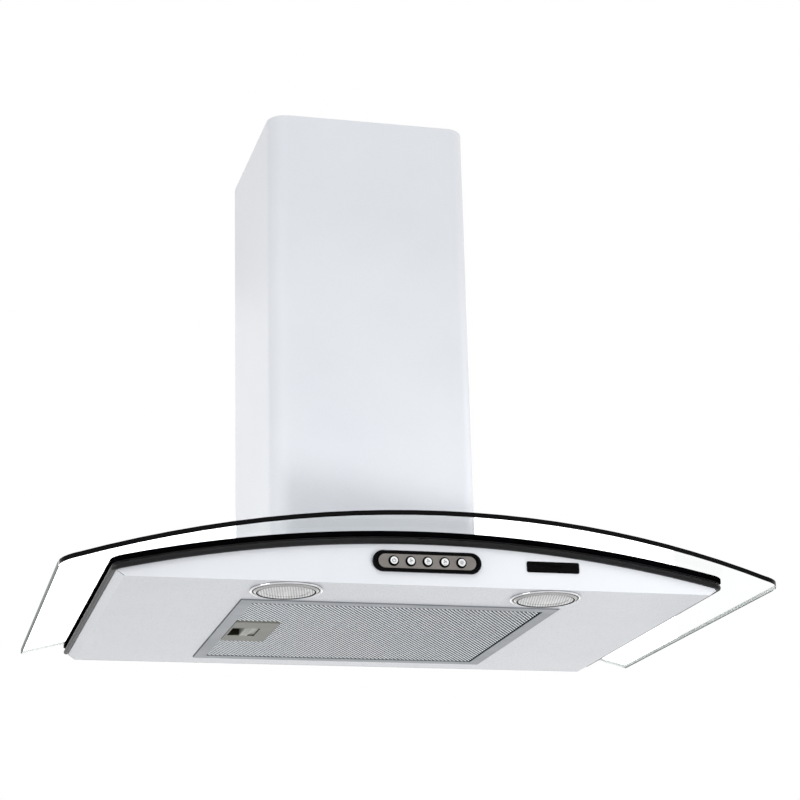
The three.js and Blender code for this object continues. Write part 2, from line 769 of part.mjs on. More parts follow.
const boxRear = -BOX_WALL_GAP;
const boxFront = -BOX_FRONT;
const airWay = prismZ(
  roundedRectangle(
    -BOX_HALF + DECK_MARGIN,
    boxFront + DECK_MARGIN,
    BOX_HALF - DECK_MARGIN,
    boxRear - DECK_MARGIN,
    AIR_WAY_CORNER,
  ),
  0,
  2 * CROWN_HEIGHT,
  3,
);
const deckInset = SHEET + TRIM_LEG + 2 * CLEARANCE + DECK_PLAY;

part(
  "body_deck",
  cut(
    archBand(
      HALF_TOP - deckInset,
      deckTop - SHEET,
      deckTop,
      FRONT + deckInset,
      REAR_SEAM,
    ),
    airWay,
    ...screwPlaces.map(([x, y]) =>
      drillThroughGlass(x, y, GLASS_SCREW_SHANK + 2 * CLEARANCE, 8),
    ),
  ),
  WHITE_PAINT,
);

// ---------------------------------------------------------------- chimney

// Plan of a chimney section: its rear flanges, sides and rounded front corners.
function chimneyPlan(inset) {
  const half = CHIMNEY_WIDTH / 2 - inset;
  const radius = CHIMNEY_CORNER - inset;
  const front = -CHIMNEY_DEPTH + inset;
  const rear = -inset;
  const flange = CHIMNEY_WIDTH / 2 - CHIMNEY_RETURN;
  return foldedSheet(
    [
      [-flange, rear],
      [-half, rear],
      ...arc(-half + radius, front + radius, radius, 180, 270, 6),
      ...arc(half - radius, front + radius, radius, 270, 360, 6),
      [half, rear],
      [flange, rear],
    ],
    SHEET,
  );
}

part(
  "chimney_outer",
  cut(
    prismZ(chimneyPlan(0), 0, CHIMNEY_TOP),
    belowGlassTop(CHIMNEY_WIDTH, CLEARANCE, -REACH, REACH),
  ),
  WHITE_PAINT,
);

const innerInset = SHEET + INNER_CHIMNEY_PLAY;
part(
  "chimney_inner",
  prismZ(chimneyPlan(innerInset), INNER_CHIMNEY_LOW, INNER_CHIMNEY_TOP),
  WHITE_PAINT,
);

// Wall bracket near the top of the inner section: a plate on the wall between the rear
// flanges, stepped forward past them to two ears inside the side walls.
const earX = CHIMNEY_WIDTH / 2 - innerInset - SHEET - CLEARANCE;
const plateX = CHIMNEY_WIDTH / 2 - CHIMNEY_RETURN - BRACKET_PLAY;
part(
  "chimney_bracket",
  prismZ(
    foldedSheet(
      [
        [earX, -BRACKET_STEP - BRACKET_EAR],
        [earX, -BRACKET_STEP],
        [plateX, -BRACKET_STEP],
        [plateX, 0],
        [-plateX, 0],
        [-plateX, -BRACKET_STEP],
        [-earX, -BRACKET_STEP],
        [-earX, -BRACKET_STEP - BRACKET_EAR],
      ],
      BRACKET_SHEET,
    ),
    INNER_CHIMNEY_TOP - BRACKET_DROP - BRACKET_HEIGHT,
    INNER_CHIMNEY_TOP - BRACKET_DROP,
  ),
  ZINC_STEEL,
);

// ---------------------------------------------------------------- blower box

const collarY = SCROLL_AXIS_Y + (THROAT_FRONT + THROAT_REAR) / 2;

// One of the angle guides on the box sides.
function chimneyGuide(side) {
  const outer = CHIMNEY_WIDTH / 2 - SHEET - CLEARANCE;
  const section = [
    [side * (BOX_HALF - SHEET / 2), GUIDE_LOW],
    [side * outer, GUIDE_LOW],
    [side * outer, GUIDE_LOW + GUIDE_HEIGHT],
    [side * (outer - SHEET), GUIDE_LOW + GUIDE_HEIGHT],
    [side * (outer - SHEET), GUIDE_LOW + SHEET],
    [side * (BOX_HALF - SHEET / 2), GUIDE_LOW + SHEET],
  ];
  const points = side > 0 ? section : section.reverse();
  const middle = (boxFront + boxRear) / 2;
  return prismY(outline(points), middle - GUIDE_WIDTH / 2, middle + GUIDE_WIDTH / 2);
}

function blowerBox() {
  const walls = cut(
    block(-BOX_HALF, BOX_HALF, boxFront, boxRear, 0, BOX_TOP),
    block(
      -BOX_HALF + SHEET,
      BOX_HALF - SHEET,
      boxFront + SHEET,
      boxRear - SHEET,
      -SHEET,
      BOX_TOP - SHEET,
    ),
    archBand(BOX_WIDTH, -2 * CROWN_HEIGHT, deckTop + CLEARANCE, -REACH, REACH),
    prismZ(
      disc(0, collarY, COLLAR_RADIUS - COLLAR_HOLE_PLAY),
      BOX_TOP - 2 * SHEET,
      BOX_TOP + SHEET,
      20,
    ),
  );
  const flange = cut(
    archBand(
      BOX_HALF + BOX_FLANGE,
      deckTop + CLEARANCE,
      deckTop + CLEARANCE + SHEET,
      boxFront - BOX_FLANGE,
      boxRear,
    ),
    block(
      -BOX_HALF + SHEET / 2,
      BOX_HALF - SHEET / 2,
      boxFront + SHEET / 2,
      REACH,
      -REACH,
      REACH,
    ),
  );
  return join(walls, flange, chimneyGuide(-1), chimneyGuide(1));
}

part("blower_box", blowerBox(), ZINC_STEEL);

// ---------------------------------------------------------------- blower scroll

const throatTop = BOX_TOP - SHEET - CLEARANCE - SCROLL_AXIS_Z;

// Side outline of the scroll about its axis, grown outward by an offset: a spiral that
// opens from the tongue to the rear, and a throat that leans in to the outlet.
function scrollOutline(offset) {
  const steps = 18;
  const spiral = Array.from({ length: steps + 1 }, (_, i) => {
    const share = i / steps;
    const angle = degrees(TONGUE_ANGLE + (360 - TONGUE_ANGLE) * share);
    const radius = SCROLL_START + (SCROLL_END - SCROLL_START) * share + offset;
    return [radius * Math.cos(angle), radius * Math.sin(angle)];
  });
  const top = throatTop + (offset > 0 ? 0 : SCROLL_WALL);
  const mouth = [
    [THROAT_REAR + offset, top],
    [THROAT_FRONT - offset, top],
  ];
  const points = [...spiral, ...mouth];
  return outline(points.map(([u, v]) => [u + SCROLL_AXIS_Y, v + SCROLL_AXIS_Z]));
}

function scrollHalf(side) {
  const outer = side * (SCROLL_WIDTH / 2);
  const span = (a, b) => [Math.min(a, b), Math.max(a, b)];
  const seam = side * CLEARANCE * 0.5;
  const shell = prismX(scrollOutline(SCROLL_WALL), ...span(seam, outer));
  const rim = prismX(
    scrollOutline(SCROLL_WALL + SCROLL_RIM),
    ...span(seam, side * SCROLL_WALL),
  );
  const room = prismX(scrollOutline(0), ...span(-side, outer - side * SCROLL_WALL));
  const inlet = revolveX(
    [
      [0, outer - side * 2 * SCROLL_WALL],
      [INLET_RADIUS - INLET_FLARE, outer - side * 2 * SCROLL_WALL],
      [INLET_RADIUS - INLET_FLARE, outer - side * SCROLL_WALL],
      [INLET_RADIUS, outer + side],
      [0, outer + side],
    ],
    SCROLL_AXIS_Y,
    SCROLL_AXIS_Z,
    28,
  );
  return cut(join(shell, rim), room, inlet);
}

part("scroll_left", scrollHalf(-1), DARK_PLASTIC);
part("scroll_right", scrollHalf(1), DARK_PLASTIC);

// ---------------------------------------------------------------- impeller, shaft and motor

// Side outline of one forward-curved blade, from its inner to its outer edge.
function bladeOutline(turn) {
  const steps = 2;
  const inner = IMPELLER_RADIUS - BLADE_DEPTH;
  const edge = (extra) =>
    Array.from({ length: steps + 1 }, (_, i) => {
      const share = i / steps;
      const radius = inner + (BLADE_DEPTH - BLADE_INSET) * share;
      const lean = degrees(BLADE_LEAN) * share * (share - BLADE_HOOK);
      const angle = turn + lean + extra / radius;
      return [
        SCROLL_AXIS_Y + radius * Math.cos(angle),
        SCROLL_AXIS_Z + radius * Math.sin(angle),
      ];
    });
  return outline([...edge(0), ...edge(BLADE_THICKNESS).reverse()]);
}

function impeller() {
  const half = IMPELLER_WIDTH / 2;
  const bore = SHAFT_RADIUS + CLEARANCE / 2;
  const ring = [
    [IMPELLER_RADIUS - BLADE_DEPTH, half - WHEEL_RING],
    [IMPELLER_RADIUS, half - WHEEL_RING],
    [IMPELLER_RADIUS, half],
    [IMPELLER_RADIUS - BLADE_DEPTH, half],
  ];
  const farRing = ring.map(([radius, x]) => [radius, -x]);
  const wheel = [
    [bore, -HUB_LEFT],
    [HUB_RADIUS, -HUB_LEFT],
    [HUB_RADIUS, -WHEEL_DISC / 2],
    [IMPELLER_RADIUS, -WHEEL_DISC / 2],
    [IMPELLER_RADIUS, WHEEL_DISC / 2],
    [HUB_RADIUS, WHEEL_DISC / 2],
    [HUB_RADIUS, HUB_RIGHT],
    [bore, HUB_RIGHT],
  ];
  const turned = [ring, farRing, wheel].map((profile) =>
    revolveX(profile, SCROLL_AXIS_Y, SCROLL_AXIS_Z, BLADE_COUNT),
  );
  const blades = Array.from({ length: BLADE_COUNT }, (_, i) => {
    const turn = (2 * Math.PI * i) / BLADE_COUNT;
    return prismX(bladeOutline(turn), -half + WHEEL_RING / 2, half - WHEEL_RING / 2);
  });
  return join(...turned, ...blades);
}

part("impeller", impeller(), ALUMINIUM);

const motorOuter = -SCROLL_WIDTH / 2;
const motorNose = -MOTOR_NOSE;

part(
  "motor_shaft",
  revolveX(
    [
      [0, motorNose - SHAFT_SEAT],
      [SHAFT_RADIUS, motorNose - SHAFT_SEAT],
      [SHAFT_RADIUS, HUB_RIGHT + SHAFT_END],
      [0, HUB_RIGHT + SHAFT_END],
    ],
    SCROLL_AXIS_Y,
    SCROLL_AXIS_Z,
    16,
  ),
  ZINC_STEEL,
);

part(
  "motor",
  revolveX(
    [
      [0, motorOuter],
      [MOTOR_RADIUS - MOTOR_CHAMFER, motorOuter],
      [MOTOR_RADIUS, motorOuter + MOTOR_CHAMFER],
      [MOTOR_RADIUS, motorNose - 2 * MOTOR_CHAMFER],
      [MOTOR_RADIUS - MOTOR_CHAMFER, motorNose - MOTOR_CHAMFER],
      [MOTOR_BOSS, motorNose - MOTOR_CHAMFER],
      [MOTOR_BOSS, motorNose],
      [SHAFT_RADIUS + CLEARANCE, motorNose],
      [SHAFT_RADIUS + CLEARANCE, motorNose - SHAFT_SEAT - CLEARANCE],
      [0, motorNose - SHAFT_SEAT - CLEARANCE],
    ],
    SCROLL_AXIS_Y,
    SCROLL_AXIS_Z,
    20,
  ),
  MOTOR_STEEL,
);

// Three flat arms across the left inlet that carry the motor on the scroll's side wall.
function motorMount() {
  const inner = motorOuter - CLEARANCE;
  const outer = inner - MOUNT_SHEET;
  const hub = disc(SCROLL_AXIS_Y, SCROLL_AXIS_Z, MOTOR_RADIUS - MOTOR_CHAMFER);
  const arms = Array.from({ length: MOUNT_ARMS }, (_, i) => {
    const arm = extrude(
      roundedRectangle(
        -MOUNT_ARM / 2,
        0,
        MOUNT_ARM / 2,
        INLET_RADIUS + MOUNT_ARM_REACH,
        MOUNT_ARM / 3,
      ),
      MOUNT_SHEET,
      1,
    );
    arm.rotateZ((2 * Math.PI * i) / MOUNT_ARMS);
    arm.applyMatrix4(YZ_PLANE).translate(outer, SCROLL_AXIS_Y, SCROLL_AXIS_Z);
    return solid(arm);
  });
  return join(prismX(hub, outer, inner, 8), ...arms);
}

part("motor_mount", motorMount(), ZINC_STEEL);

// ---------------------------------------------------------------- outlet collar and dampers

const collarBase = BOX_TOP + CLEARANCE;
const damperZ = BOX_TOP + DAMPER_LEVEL;
const collarInner = COLLAR_RADIUS - COLLAR_WALL;
const flapRadius = collarInner - FLAP_GAP;
const pinReach = COLLAR_RADIUS - CLEARANCE;

// A revolve about the collar's own upright axis.
function revolveCollar(profile, segments) {
  return solid(revolvedGeometry(profile, segments).translate(0, collarY, 0));
}

function outletCollar() {
  const tube = revolveCollar(
    [
      [collarInner, collarBase],
      [COLLAR_FLANGE, collarBase],
      [COLLAR_FLANGE, collarBase + COLLAR_FLANGE_THICKNESS],
      [COLLAR_RADIUS, collarBase + 2 * COLLAR_FLANGE_THICKNESS],
      [COLLAR_RADIUS, collarBase + COLLAR_HEIGHT],
      [collarInner, collarBase + COLLAR_HEIGHT],
    ],
    32,
  );
  const stop = (side) => {
    const inner = collarY + side * (flapRadius - STOP_LENGTH);
    const outer = collarY + side * (collarInner + COLLAR_WALL / 2);
    const top = damperZ - FLAP_THICKNESS / 2 - CLEARANCE;
    return block(
      -STOP_WIDTH / 2,
      STOP_WIDTH / 2,
      Math.min(inner, outer),
      Math.max(inner, outer),
      top - STOP_HEIGHT,
      top,
    );
  };
  const pinHole = revolveX(
    [
      [0, -COLLAR_FLANGE],
      [DAMPER_PIN + CLEARANCE / 2, -COLLAR_FLANGE],
      [DAMPER_PIN + CLEARANCE / 2, COLLAR_FLANGE],
      [0, COLLAR_FLANGE],
    ],
    collarY,
    damperZ,
    16,
  );
  return cut(join(tube, stop(-1), stop(1)), pinHole);
}

part("outlet_collar", outletCollar(), DARK_PLASTIC);

part(
  "damper_pin",
  revolveX(
    [
      [0, -pinReach],
      [DAMPER_PIN, -pinReach],
      [DAMPER_PIN, pinReach],
      [0, pinReach],
    ],
    collarY,
    damperZ,
    16,
  ),
  ZINC_STEEL,
);

// A half-round flap on one side of the pin, with two knuckles round it.
function damperFlap(side, places) {
  const plateLow = damperZ - FLAP_THICKNESS / 2;
  const plateHigh = damperZ + FLAP_THICKNESS / 2;
  const away = collarY - side * COLLAR_FLANGE;
  const clearTo = collarY + side * FLAP_EDGE;
  const plate = cut(
    prismZ(disc(0, collarY, flapRadius), plateLow, plateHigh, 20),
    block(
      -COLLAR_FLANGE,
      COLLAR_FLANGE,
      Math.min(away, clearTo),
      Math.max(away, clearTo),
      0,
      2 * BOX_TOP,
    ),
  );
  const hingeEnd = collarY + side * (FLAP_EDGE + DAMPER_PIN);
  const knuckles = places.map((x) => {
    const from = x - KNUCKLE_WIDTH / 2;
    const to = x + KNUCKLE_WIDTH / 2;
    const profile = [[0, from], [KNUCKLE_RADIUS, from], [KNUCKLE_RADIUS, to], [0, to]];
    const barrel = revolveX(profile, collarY, damperZ, 12);
    const low = Math.min(collarY, hingeEnd);
    const leaf = block(from, to, low, Math.max(collarY, hingeEnd), plateLow, plateHigh);
    return join(barrel, leaf);
  });
  const bore = revolveX(
    [
      [0, -COLLAR_FLANGE],
      [DAMPER_PIN + CLEARANCE, -COLLAR_FLANGE],
      [DAMPER_PIN + CLEARANCE, COLLAR_FLANGE],
      [0, COLLAR_FLANGE],
    ],
    collarY,
    damperZ,
    12,
  );
  return cut(join(plate, ...knuckles), bore);
}

part("damper_flap_front", damperFlap(-1, KNUCKLE_PLACES.front), DARK_PLASTIC);
part("damper_flap_rear", damperFlap(1, KNUCKLE_PLACES.rear), DARK_PLASTIC);

// ---------------------------------------------------------------- electrics on the blower box

const terminalLeft = -BOX_HALF + TERMINAL_INSET;
const terminalFront = boxFront + TERMINAL_FRONT_INSET;
const terminalX = terminalLeft + TERMINAL_WIDTH / 2;
const terminalY = terminalFront + TERMINAL_DEPTH / 2;
const terminalTop = collarBase + TERMINAL_HEIGHT;
const capacitorRight = CAPACITOR_LEFT + CAPACITOR_LENGTH;

part(
  "terminal_box",
  prismZ(
    roundedRectangle(
      terminalLeft,
      terminalFront,
      terminalLeft + TERMINAL_WIDTH,
      terminalFront + TERMINAL_DEPTH,
      TERMINAL_CORNER,
    ),
    collarBase,
    terminalTop,
    4,
  ),
  BLACK_PLASTIC,
);

const glandNut = terminalTop + GLAND_NUT;
const glandDome = dome(GLAND_RADIUS - GLAND_BORE, glandNut, GLAND_HEIGHT - GLAND_NUT, 3);
const glandGeometry = revolvedGeometry(
  [
    [GLAND_BORE, terminalTop + CLEARANCE],
    [GLAND_RADIUS, terminalTop + CLEARANCE],
    ...glandDome.map(([radius, height]) => [GLAND_BORE + radius, height]),
  ],
  16,
);
part("cord_gland", solid(glandGeometry.translate(terminalX, terminalY, 0)), DARK_PLASTIC);

part(
  "capacitor",
  revolveX(
    [
      [0, CAPACITOR_LEFT],
      [CAPACITOR_RADIUS - CAPACITOR_EDGE, CAPACITOR_LEFT],
      [CAPACITOR_RADIUS, CAPACITOR_LEFT + CAPACITOR_EDGE],
      [CAPACITOR_RADIUS, capacitorRight - CAPACITOR_EDGE],
      [CAPACITOR_RADIUS - CAPACITOR_EDGE, capacitorRight],
      [0, capacitorRight],
    ],
    terminalY,
    collarBase + CAPACITOR_RADIUS,
    20,
  ),
  GREY_PLASTIC,
);

// ---------------------------------------------------------------- grease filter

const filterLow = -FILTER_PROUD;
const filterHigh = filterLow + FILTER_THICKNESS;
const latchLeft = filterLeft + FILTER_RAIL;
const latchFront = FRONT + LATCH_FROM_FRONT;
const latchRear = latchFront + LATCH_LENGTH;
const latchMiddle = (latchFront + latchRear) / 2;
const tongueLow = filterLow + LATCH_TONGUE_RISE;
const tongueHigh = tongueLow + LATCH_TONGUE_SHEET;

// The aluminium channel that frames the filter, with two hooks on its right side.
function filterFrame() {
  const inside = FILTER_WALL;
  const outer = block(filterLeft, filterRight, filterFront, filterRear, filterLow, filterHigh);
  const window = block(
    filterLeft + FILTER_RAIL,
    filterRight - FILTER_RAIL,
    filterFront + FILTER_RAIL,
    filterRear - FILTER_RAIL,
    filterLow - 1,
    filterHigh + 1,
  );
  const channel = block(
    filterLeft + inside,
    filterRight - inside,
    filterFront + inside,
    filterRear - inside,
    filterLow + inside,
    filterHigh - inside,
  );
  const tongueSlot = block(
    filterLeft - 1,
    filterLeft + 2 * inside,
    latchMiddle - LATCH_TONGUE / 2 - CLEARANCE,
    latchMiddle + LATCH_TONGUE / 2 + CLEARANCE,
    tongueLow - CLEARANCE,
    tongueHigh + CLEARANCE,
  );
  const hookLow = SHEET + CLEARANCE;
  const hooks = [-1, 1].map((side) => {
    const middle = (filterFront + filterRear) / 2 + (side * HOOK_SPACING) / 2;
    return block(
      filterRight - inside / 2,
      filterRight + FILTER_HINGE_GAP + HOOK_LENGTH,
      middle - HOOK_WIDTH / 2,
      middle + HOOK_WIDTH / 2,
      hookLow,
      hookLow + HOOK_SHEET,
    );
  });
  return join(cut(outer, window, channel, tongueSlot), ...hooks);
}

part("filter_frame", filterFrame(), ALUMINIUM);

// The expanded metal held in the channel: diamonds cut out of a sheet, each row set
// half a pitch along from the last, with a plain border that sits in the frame.
const meshInset = FILTER_WALL + CLEARANCE;
const meshLow = filterLow + FILTER_WALL + CLEARANCE;
const meshHigh = filterHigh - FILTER_WALL - CLEARANCE;
const latchHole = {
  left: latchLeft - 2 * CLEARANCE,
  right: latchLeft + LATCH_WIDTH + CLEARANCE,
  front: latchFront - CLEARANCE,
  rear: latchRear + CLEARANCE,
};
const tongueRoom = block(
  filterLeft,
  latchLeft + LATCH_WIDTH / 2,
  latchMiddle - LATCH_TONGUE / 2 - 2 * CLEARANCE,
  latchMiddle + LATCH_TONGUE / 2 + 2 * CLEARANCE,
  filterLow,
  filterHigh,
);

function diamond(x, y) {
  const halfX = (MESH_PITCH_X - MESH_STRAND * Math.hypot(1, MESH_PITCH_X / MESH_PITCH_Y)) / 2;
  const halfY = (halfX * MESH_PITCH_Y) / MESH_PITCH_X;
  return outline([[x - halfX, y], [x, y - halfY], [x + halfX, y], [x, y + halfY]]);
}

function expandedMetal() {
  const spanX = FILTER_WIDTH - 2 * FILTER_RAIL;
  const spanY = FILTER_DEPTH - 2 * FILTER_RAIL;
  const columns = Math.ceil(spanX / MESH_PITCH_X) + 1;
  const rows = 2 * Math.ceil(spanY / MESH_PITCH_Y) + 1;
  const middleY = (filterFront + filterRear) / 2;
  const border = block(
    filterLeft + meshInset,
    filterRight - meshInset,
    filterFront + meshInset,
    filterRear - meshInset,
    meshLow,
    meshHigh,
  );
  const window = block(
    filterLeft + FILTER_RAIL,
    filterRight - FILTER_RAIL,
    filterFront + FILTER_RAIL,
    filterRear - FILTER_RAIL,
    meshLow - 1,
    meshHigh + 1,
  );
  const latchBorder = block(
    latchHole.left - MESH_STRAND,
    latchHole.right + MESH_STRAND,
    latchHole.front - MESH_STRAND,
    latchHole.rear + MESH_STRAND,
    filterLow,
    filterHigh,
  );
  const diamonds = [];
  for (let row = 0; row < rows; row++) {
    const y = middleY + (row - (rows - 1) / 2) * (MESH_PITCH_Y / 2);
    for (let column = 0; column < columns; column++) {
      const place = column - (columns - 1) / 2 + (row % 2) / 2;
      const shape = diamond(filterCentre + place * MESH_PITCH_X, y);
      diamonds.push(prismZ(shape, meshLow - 1, meshHigh + 1));
    }
  }
  const gaps = join(...diamonds).intersect(window).subtract(latchBorder);
  return cut(
    border,
    gaps,
    block(
      latchHole.left,
      latchHole.right,
      latchHole.front,
      latchHole.rear,
      filterLow - 1,
      filterHigh + 1,
    ),
    tongueRoom,
  );
}

part("filter_mesh", expandedMetal(), ALUMINIUM);

// The latch: a plate with a finger recess, and the sprung slide in it.
const plateLow = filterLow - LATCH_PROUD;
const pocketLeft = latchLeft + LATCH_POCKET_START;
const buttonLeft = latchLeft + LATCH_BUTTON_START;
const buttonRight = buttonLeft + LATCH_BUTTON_WIDTH;
const pocketRight = buttonRight + LATCH_TRAVEL + CLEARANCE;
const pocketFront = latchMiddle - LATCH_POCKET_LENGTH / 2;
const pocketRear = latchMiddle + LATCH_POCKET_LENGTH / 2;
const apronLow = plateLow + LATCH_SKIN;
const apronHigh = apronLow + LATCH_APRON;

function latchPlate() {
  const plate = prismZ(
    roundedRectangle(
      latchLeft + CLEARANCE,
      latchFront,
      latchLeft + LATCH_WIDTH,
      latchRear,
      LATCH_CORNER,
    ),
    plateLow,
    meshHigh,
    3,
  );
  const pocket = block(
    pocketLeft,
    pocketRight,
    pocketFront,
    pocketRear,
    plateLow - 1,
    tongueHigh + CLEARANCE,
  );
  const apronRoom = block(
    buttonLeft,
    pocketRight + LATCH_TRAVEL + CLEARANCE,
    pocketFront - LATCH_APRON_EDGE - CLEARANCE,
    pocketRear + LATCH_APRON_EDGE + CLEARANCE,
    apronLow - CLEARANCE,
    apronHigh + CLEARANCE,
  );
  const tongueWay = block(
    latchLeft - 1,
    pocketLeft + 1,
    latchMiddle - LATCH_TONGUE / 2 - CLEARANCE,
    latchMiddle + LATCH_TONGUE / 2 + CLEARANCE,
    tongueLow - CLEARANCE,
    tongueHigh + CLEARANCE,
  );
  return cut(plate, pocket, apronRoom, tongueWay);
}

part("latch_plate", latchPlate(), GREY_PLASTIC);

function latchSlide() {
  const ribs = Array.from({ length: LATCH_RIBS }, (_, i) => {
    const middle = (buttonLeft + buttonRight) / 2 + (i - (LATCH_RIBS - 1) / 2) * LATCH_RIB_PITCH;
    return block(
      middle - LATCH_RIB_WIDTH / 2,
      middle + LATCH_RIB_WIDTH / 2,
      pocketFront + LATCH_RIB_INSET,
      pocketRear - LATCH_RIB_INSET,
      plateLow - LATCH_RIB_PROUD,
      plateLow + LATCH_RIB_PROUD,
    );
  });
  const button = block(
    buttonLeft,
    buttonRight,
    pocketFront + CLEARANCE,
    pocketRear - CLEARANCE,
    plateLow,
    tongueHigh,
  );
  const apron = block(
    buttonLeft + 1,
    pocketRight,
    pocketFront - LATCH_APRON_EDGE,
    pocketRear + LATCH_APRON_EDGE,
    apronLow,
    apronHigh,
  );
  const tongue = block(
    filterLeft - FILTER_GAP / 2,
    buttonLeft + 1,
    latchMiddle - LATCH_TONGUE / 2,
    latchMiddle + LATCH_TONGUE / 2,
    tongueLow,
    tongueHigh,
  );
  return join(button, apron, tongue, ...ribs);
}

part("latch_slide", latchSlide(), GREY_PLASTIC);

// ---------------------------------------------------------------- lamps

// A revolve about a lamp's own axis.
function revolveLamp(profile, x, segments = 20) {
  return solid(revolvedGeometry(profile, segments).translate(x, lampY, 0));
}

const rim = LAMP_BEZEL / 2;
const sleeve = LAMP_HOLE / 2 - LAMP_SLEEVE_PLAY;
const lensSeat = sleeve - LAMP_SLEEVE_WALL;
const lensEdge = lensSeat - LENS_LEDGE;
const lensBody = lensEdge - CLEARANCE;
const lensRim = lensSeat - CLEARANCE;
const cupInner = sleeve + CUP_PLAY;
const cupTop = SHEET + LAMP_HEIGHT;
const cupFoot = SHEET + CLEARANCE;
const cupRim = rim - CUP_PLAY;

const bezelProfile = [
  [lensSeat, LAMP_SLEEVE_DEPTH],
  [sleeve, LAMP_SLEEVE_DEPTH],
  [sleeve, -CLEARANCE],
  [rim - BEZEL_EDGE, -CLEARANCE],
  [rim, -BEZEL_EDGE],
  [rim - BEZEL_EDGE / 2, -2 * BEZEL_EDGE],
  [lensEdge + LENS_RING_WIDTH, -BEZEL_PROUD],
  [lensEdge + LENS_RING_WIDTH * 0.6, -LENS_RING_PROUD + CLEARANCE],
  [lensEdge + LENS_RING_WIDTH * 0.3, -LENS_RING_PROUD],
  [lensEdge, -LENS_RING_PROUD + 2 * CLEARANCE],
  [lensEdge, -LENS_LEDGE_DROP],
  [lensSeat, -LENS_LEDGE_DROP],
];
const lensProfile = [
  ...dome(lensBody, -LENS_RIM_PROUD, -LENS_CROWN, 3).reverse(),
  [lensBody, CLEARANCE - LENS_LEDGE_DROP],
  [lensRim, CLEARANCE - LENS_LEDGE_DROP],
  [lensRim, LENS_BACK],
  [0, LENS_BACK],
];
const cupProfile = [
  [0, cupTop],
  [cupInner + CUP_SHEET - CUP_SHOULDER, cupTop],
  [cupInner + CUP_SHEET, cupTop - CUP_SHOULDER],
  [cupInner + CUP_SHEET, cupFoot + CUP_SHEET],
  [cupRim, cupFoot + CUP_SHEET],
  [cupRim, cupFoot],
  [cupInner, cupFoot],
  [cupInner, cupTop - CUP_SHOULDER - CUP_SHEET / 2],
  [cupInner - CUP_SHOULDER + CUP_SHEET / 2, cupTop - CUP_SHEET],
  [0, cupTop - CUP_SHEET],
];
const bulbSeat = cupTop - CUP_SHEET - CLEARANCE;
const bulbNeck = bulbSeat - BULB_BASE_HEIGHT;
const bulbTip = bulbNeck - BULB_LENGTH;
const bulbProfile = [
  [0, bulbSeat],
  [BULB_BASE_RADIUS, bulbSeat],
  [BULB_BASE_RADIUS, bulbNeck],
  [BULB_RADIUS, bulbNeck - 1],
  ...dome(BULB_RADIUS, bulbTip + BULB_RADIUS, -BULB_RADIUS, 3),
];

for (const [side, x] of Object.entries(lampSides)) {
  part("lamp_bezel_" + side, revolveLamp(bezelProfile, x), CHROME);
  part("lamp_lens_" + side, revolveLamp(lensProfile, x), LENS_GLASS);
  part("lamp_housing_" + side, revolveLamp(cupProfile, x), ZINC_STEEL);
  part("lamp_bulb_" + side, revolveLamp(bulbProfile, x, 12), LENS_GLASS);
}

// ---------------------------------------------------------------- control panel

const insertFront = FRONT - INSERT_PROUD;
const insertRear = insertFront + INSERT_THICKNESS;
const neckRear = FRONT + CONTROL_NECK + SHEET;
const buttonXs = Array.from(
  { length: BUTTON_COUNT },
  (_, i) => (i - (BUTTON_COUNT - 1) / 2) * BUTTON_SPACING,
);
const buttonRadius = BUTTON_DIAMETER / 2;
const buttonFront = FRONT - BUTTON_PROUD;
const buttonRear = buttonFront + BUTTON_LENGTH;
const stemRadius = STEM_DIAMETER / 2;
const controlOval = (length, height) => stadium(0, CONTROL_LEVEL, length, height);

function controlBezel() {
  const front = FRONT - CONTROL_PROUD;
  const slab = (length, height, from, to) =>
    prismY(controlOval(length, height), from, to, OVAL_STEPS);
  const rimFront = slab(
    CONTROL_LENGTH - 2 * CONTROL_EDGE,
    CONTROL_HEIGHT - 2 * CONTROL_EDGE,
    front,
    FRONT - CLEARANCE,
  );
  const rimRear = slab(
    CONTROL_LENGTH,
    CONTROL_HEIGHT,
    front + CONTROL_EDGE,
    FRONT - CLEARANCE,
  );
  const neck = slab(neckLength, neckHeight, FRONT - SHEET, neckRear);
  const seat = slab(
    INSERT_LENGTH + 2 * CLEARANCE,
    INSERT_HEIGHT + 2 * CLEARANCE,
    front - 1,
    insertRear + CLEARANCE,
  );
  const through = slab(
    neckLength - 2 * SHEET,
    neckHeight - 2 * SHEET,
    front - 1,
    neckRear + 1,
  );
  return cut(join(rimFront, rimRear, neck), seat, through);
}

part("control_bezel", controlBezel(), BLACK_PLASTIC);

part(
  "control_insert",
  cut(
    prismY(controlOval(INSERT_LENGTH, INSERT_HEIGHT), insertFront, insertRear, OVAL_STEPS),
    ...buttonXs.map((x) =>
      prismY(disc(x, CONTROL_LEVEL, buttonRadius + CLEARANCE), insertFront - 1, FRONT, 5),
    ),
  ),
  PANEL_GREY,
);

buttonXs.forEach((x, i) => {
  const profile = [
    [0, buttonFront],
    [buttonRadius - BUTTON_CHAMFER, buttonFront],
    [buttonRadius, buttonFront + BUTTON_CHAMFER],
    [buttonRadius, buttonRear],
    [stemRadius, buttonRear],
    [stemRadius, buttonRear + STEM_LENGTH],
    [0, buttonRear + STEM_LENGTH],
  ];
  const body = revolveY(profile, x, CONTROL_LEVEL);
  part("button_" + (i + 1), body, BUTTON_SILVER);
});

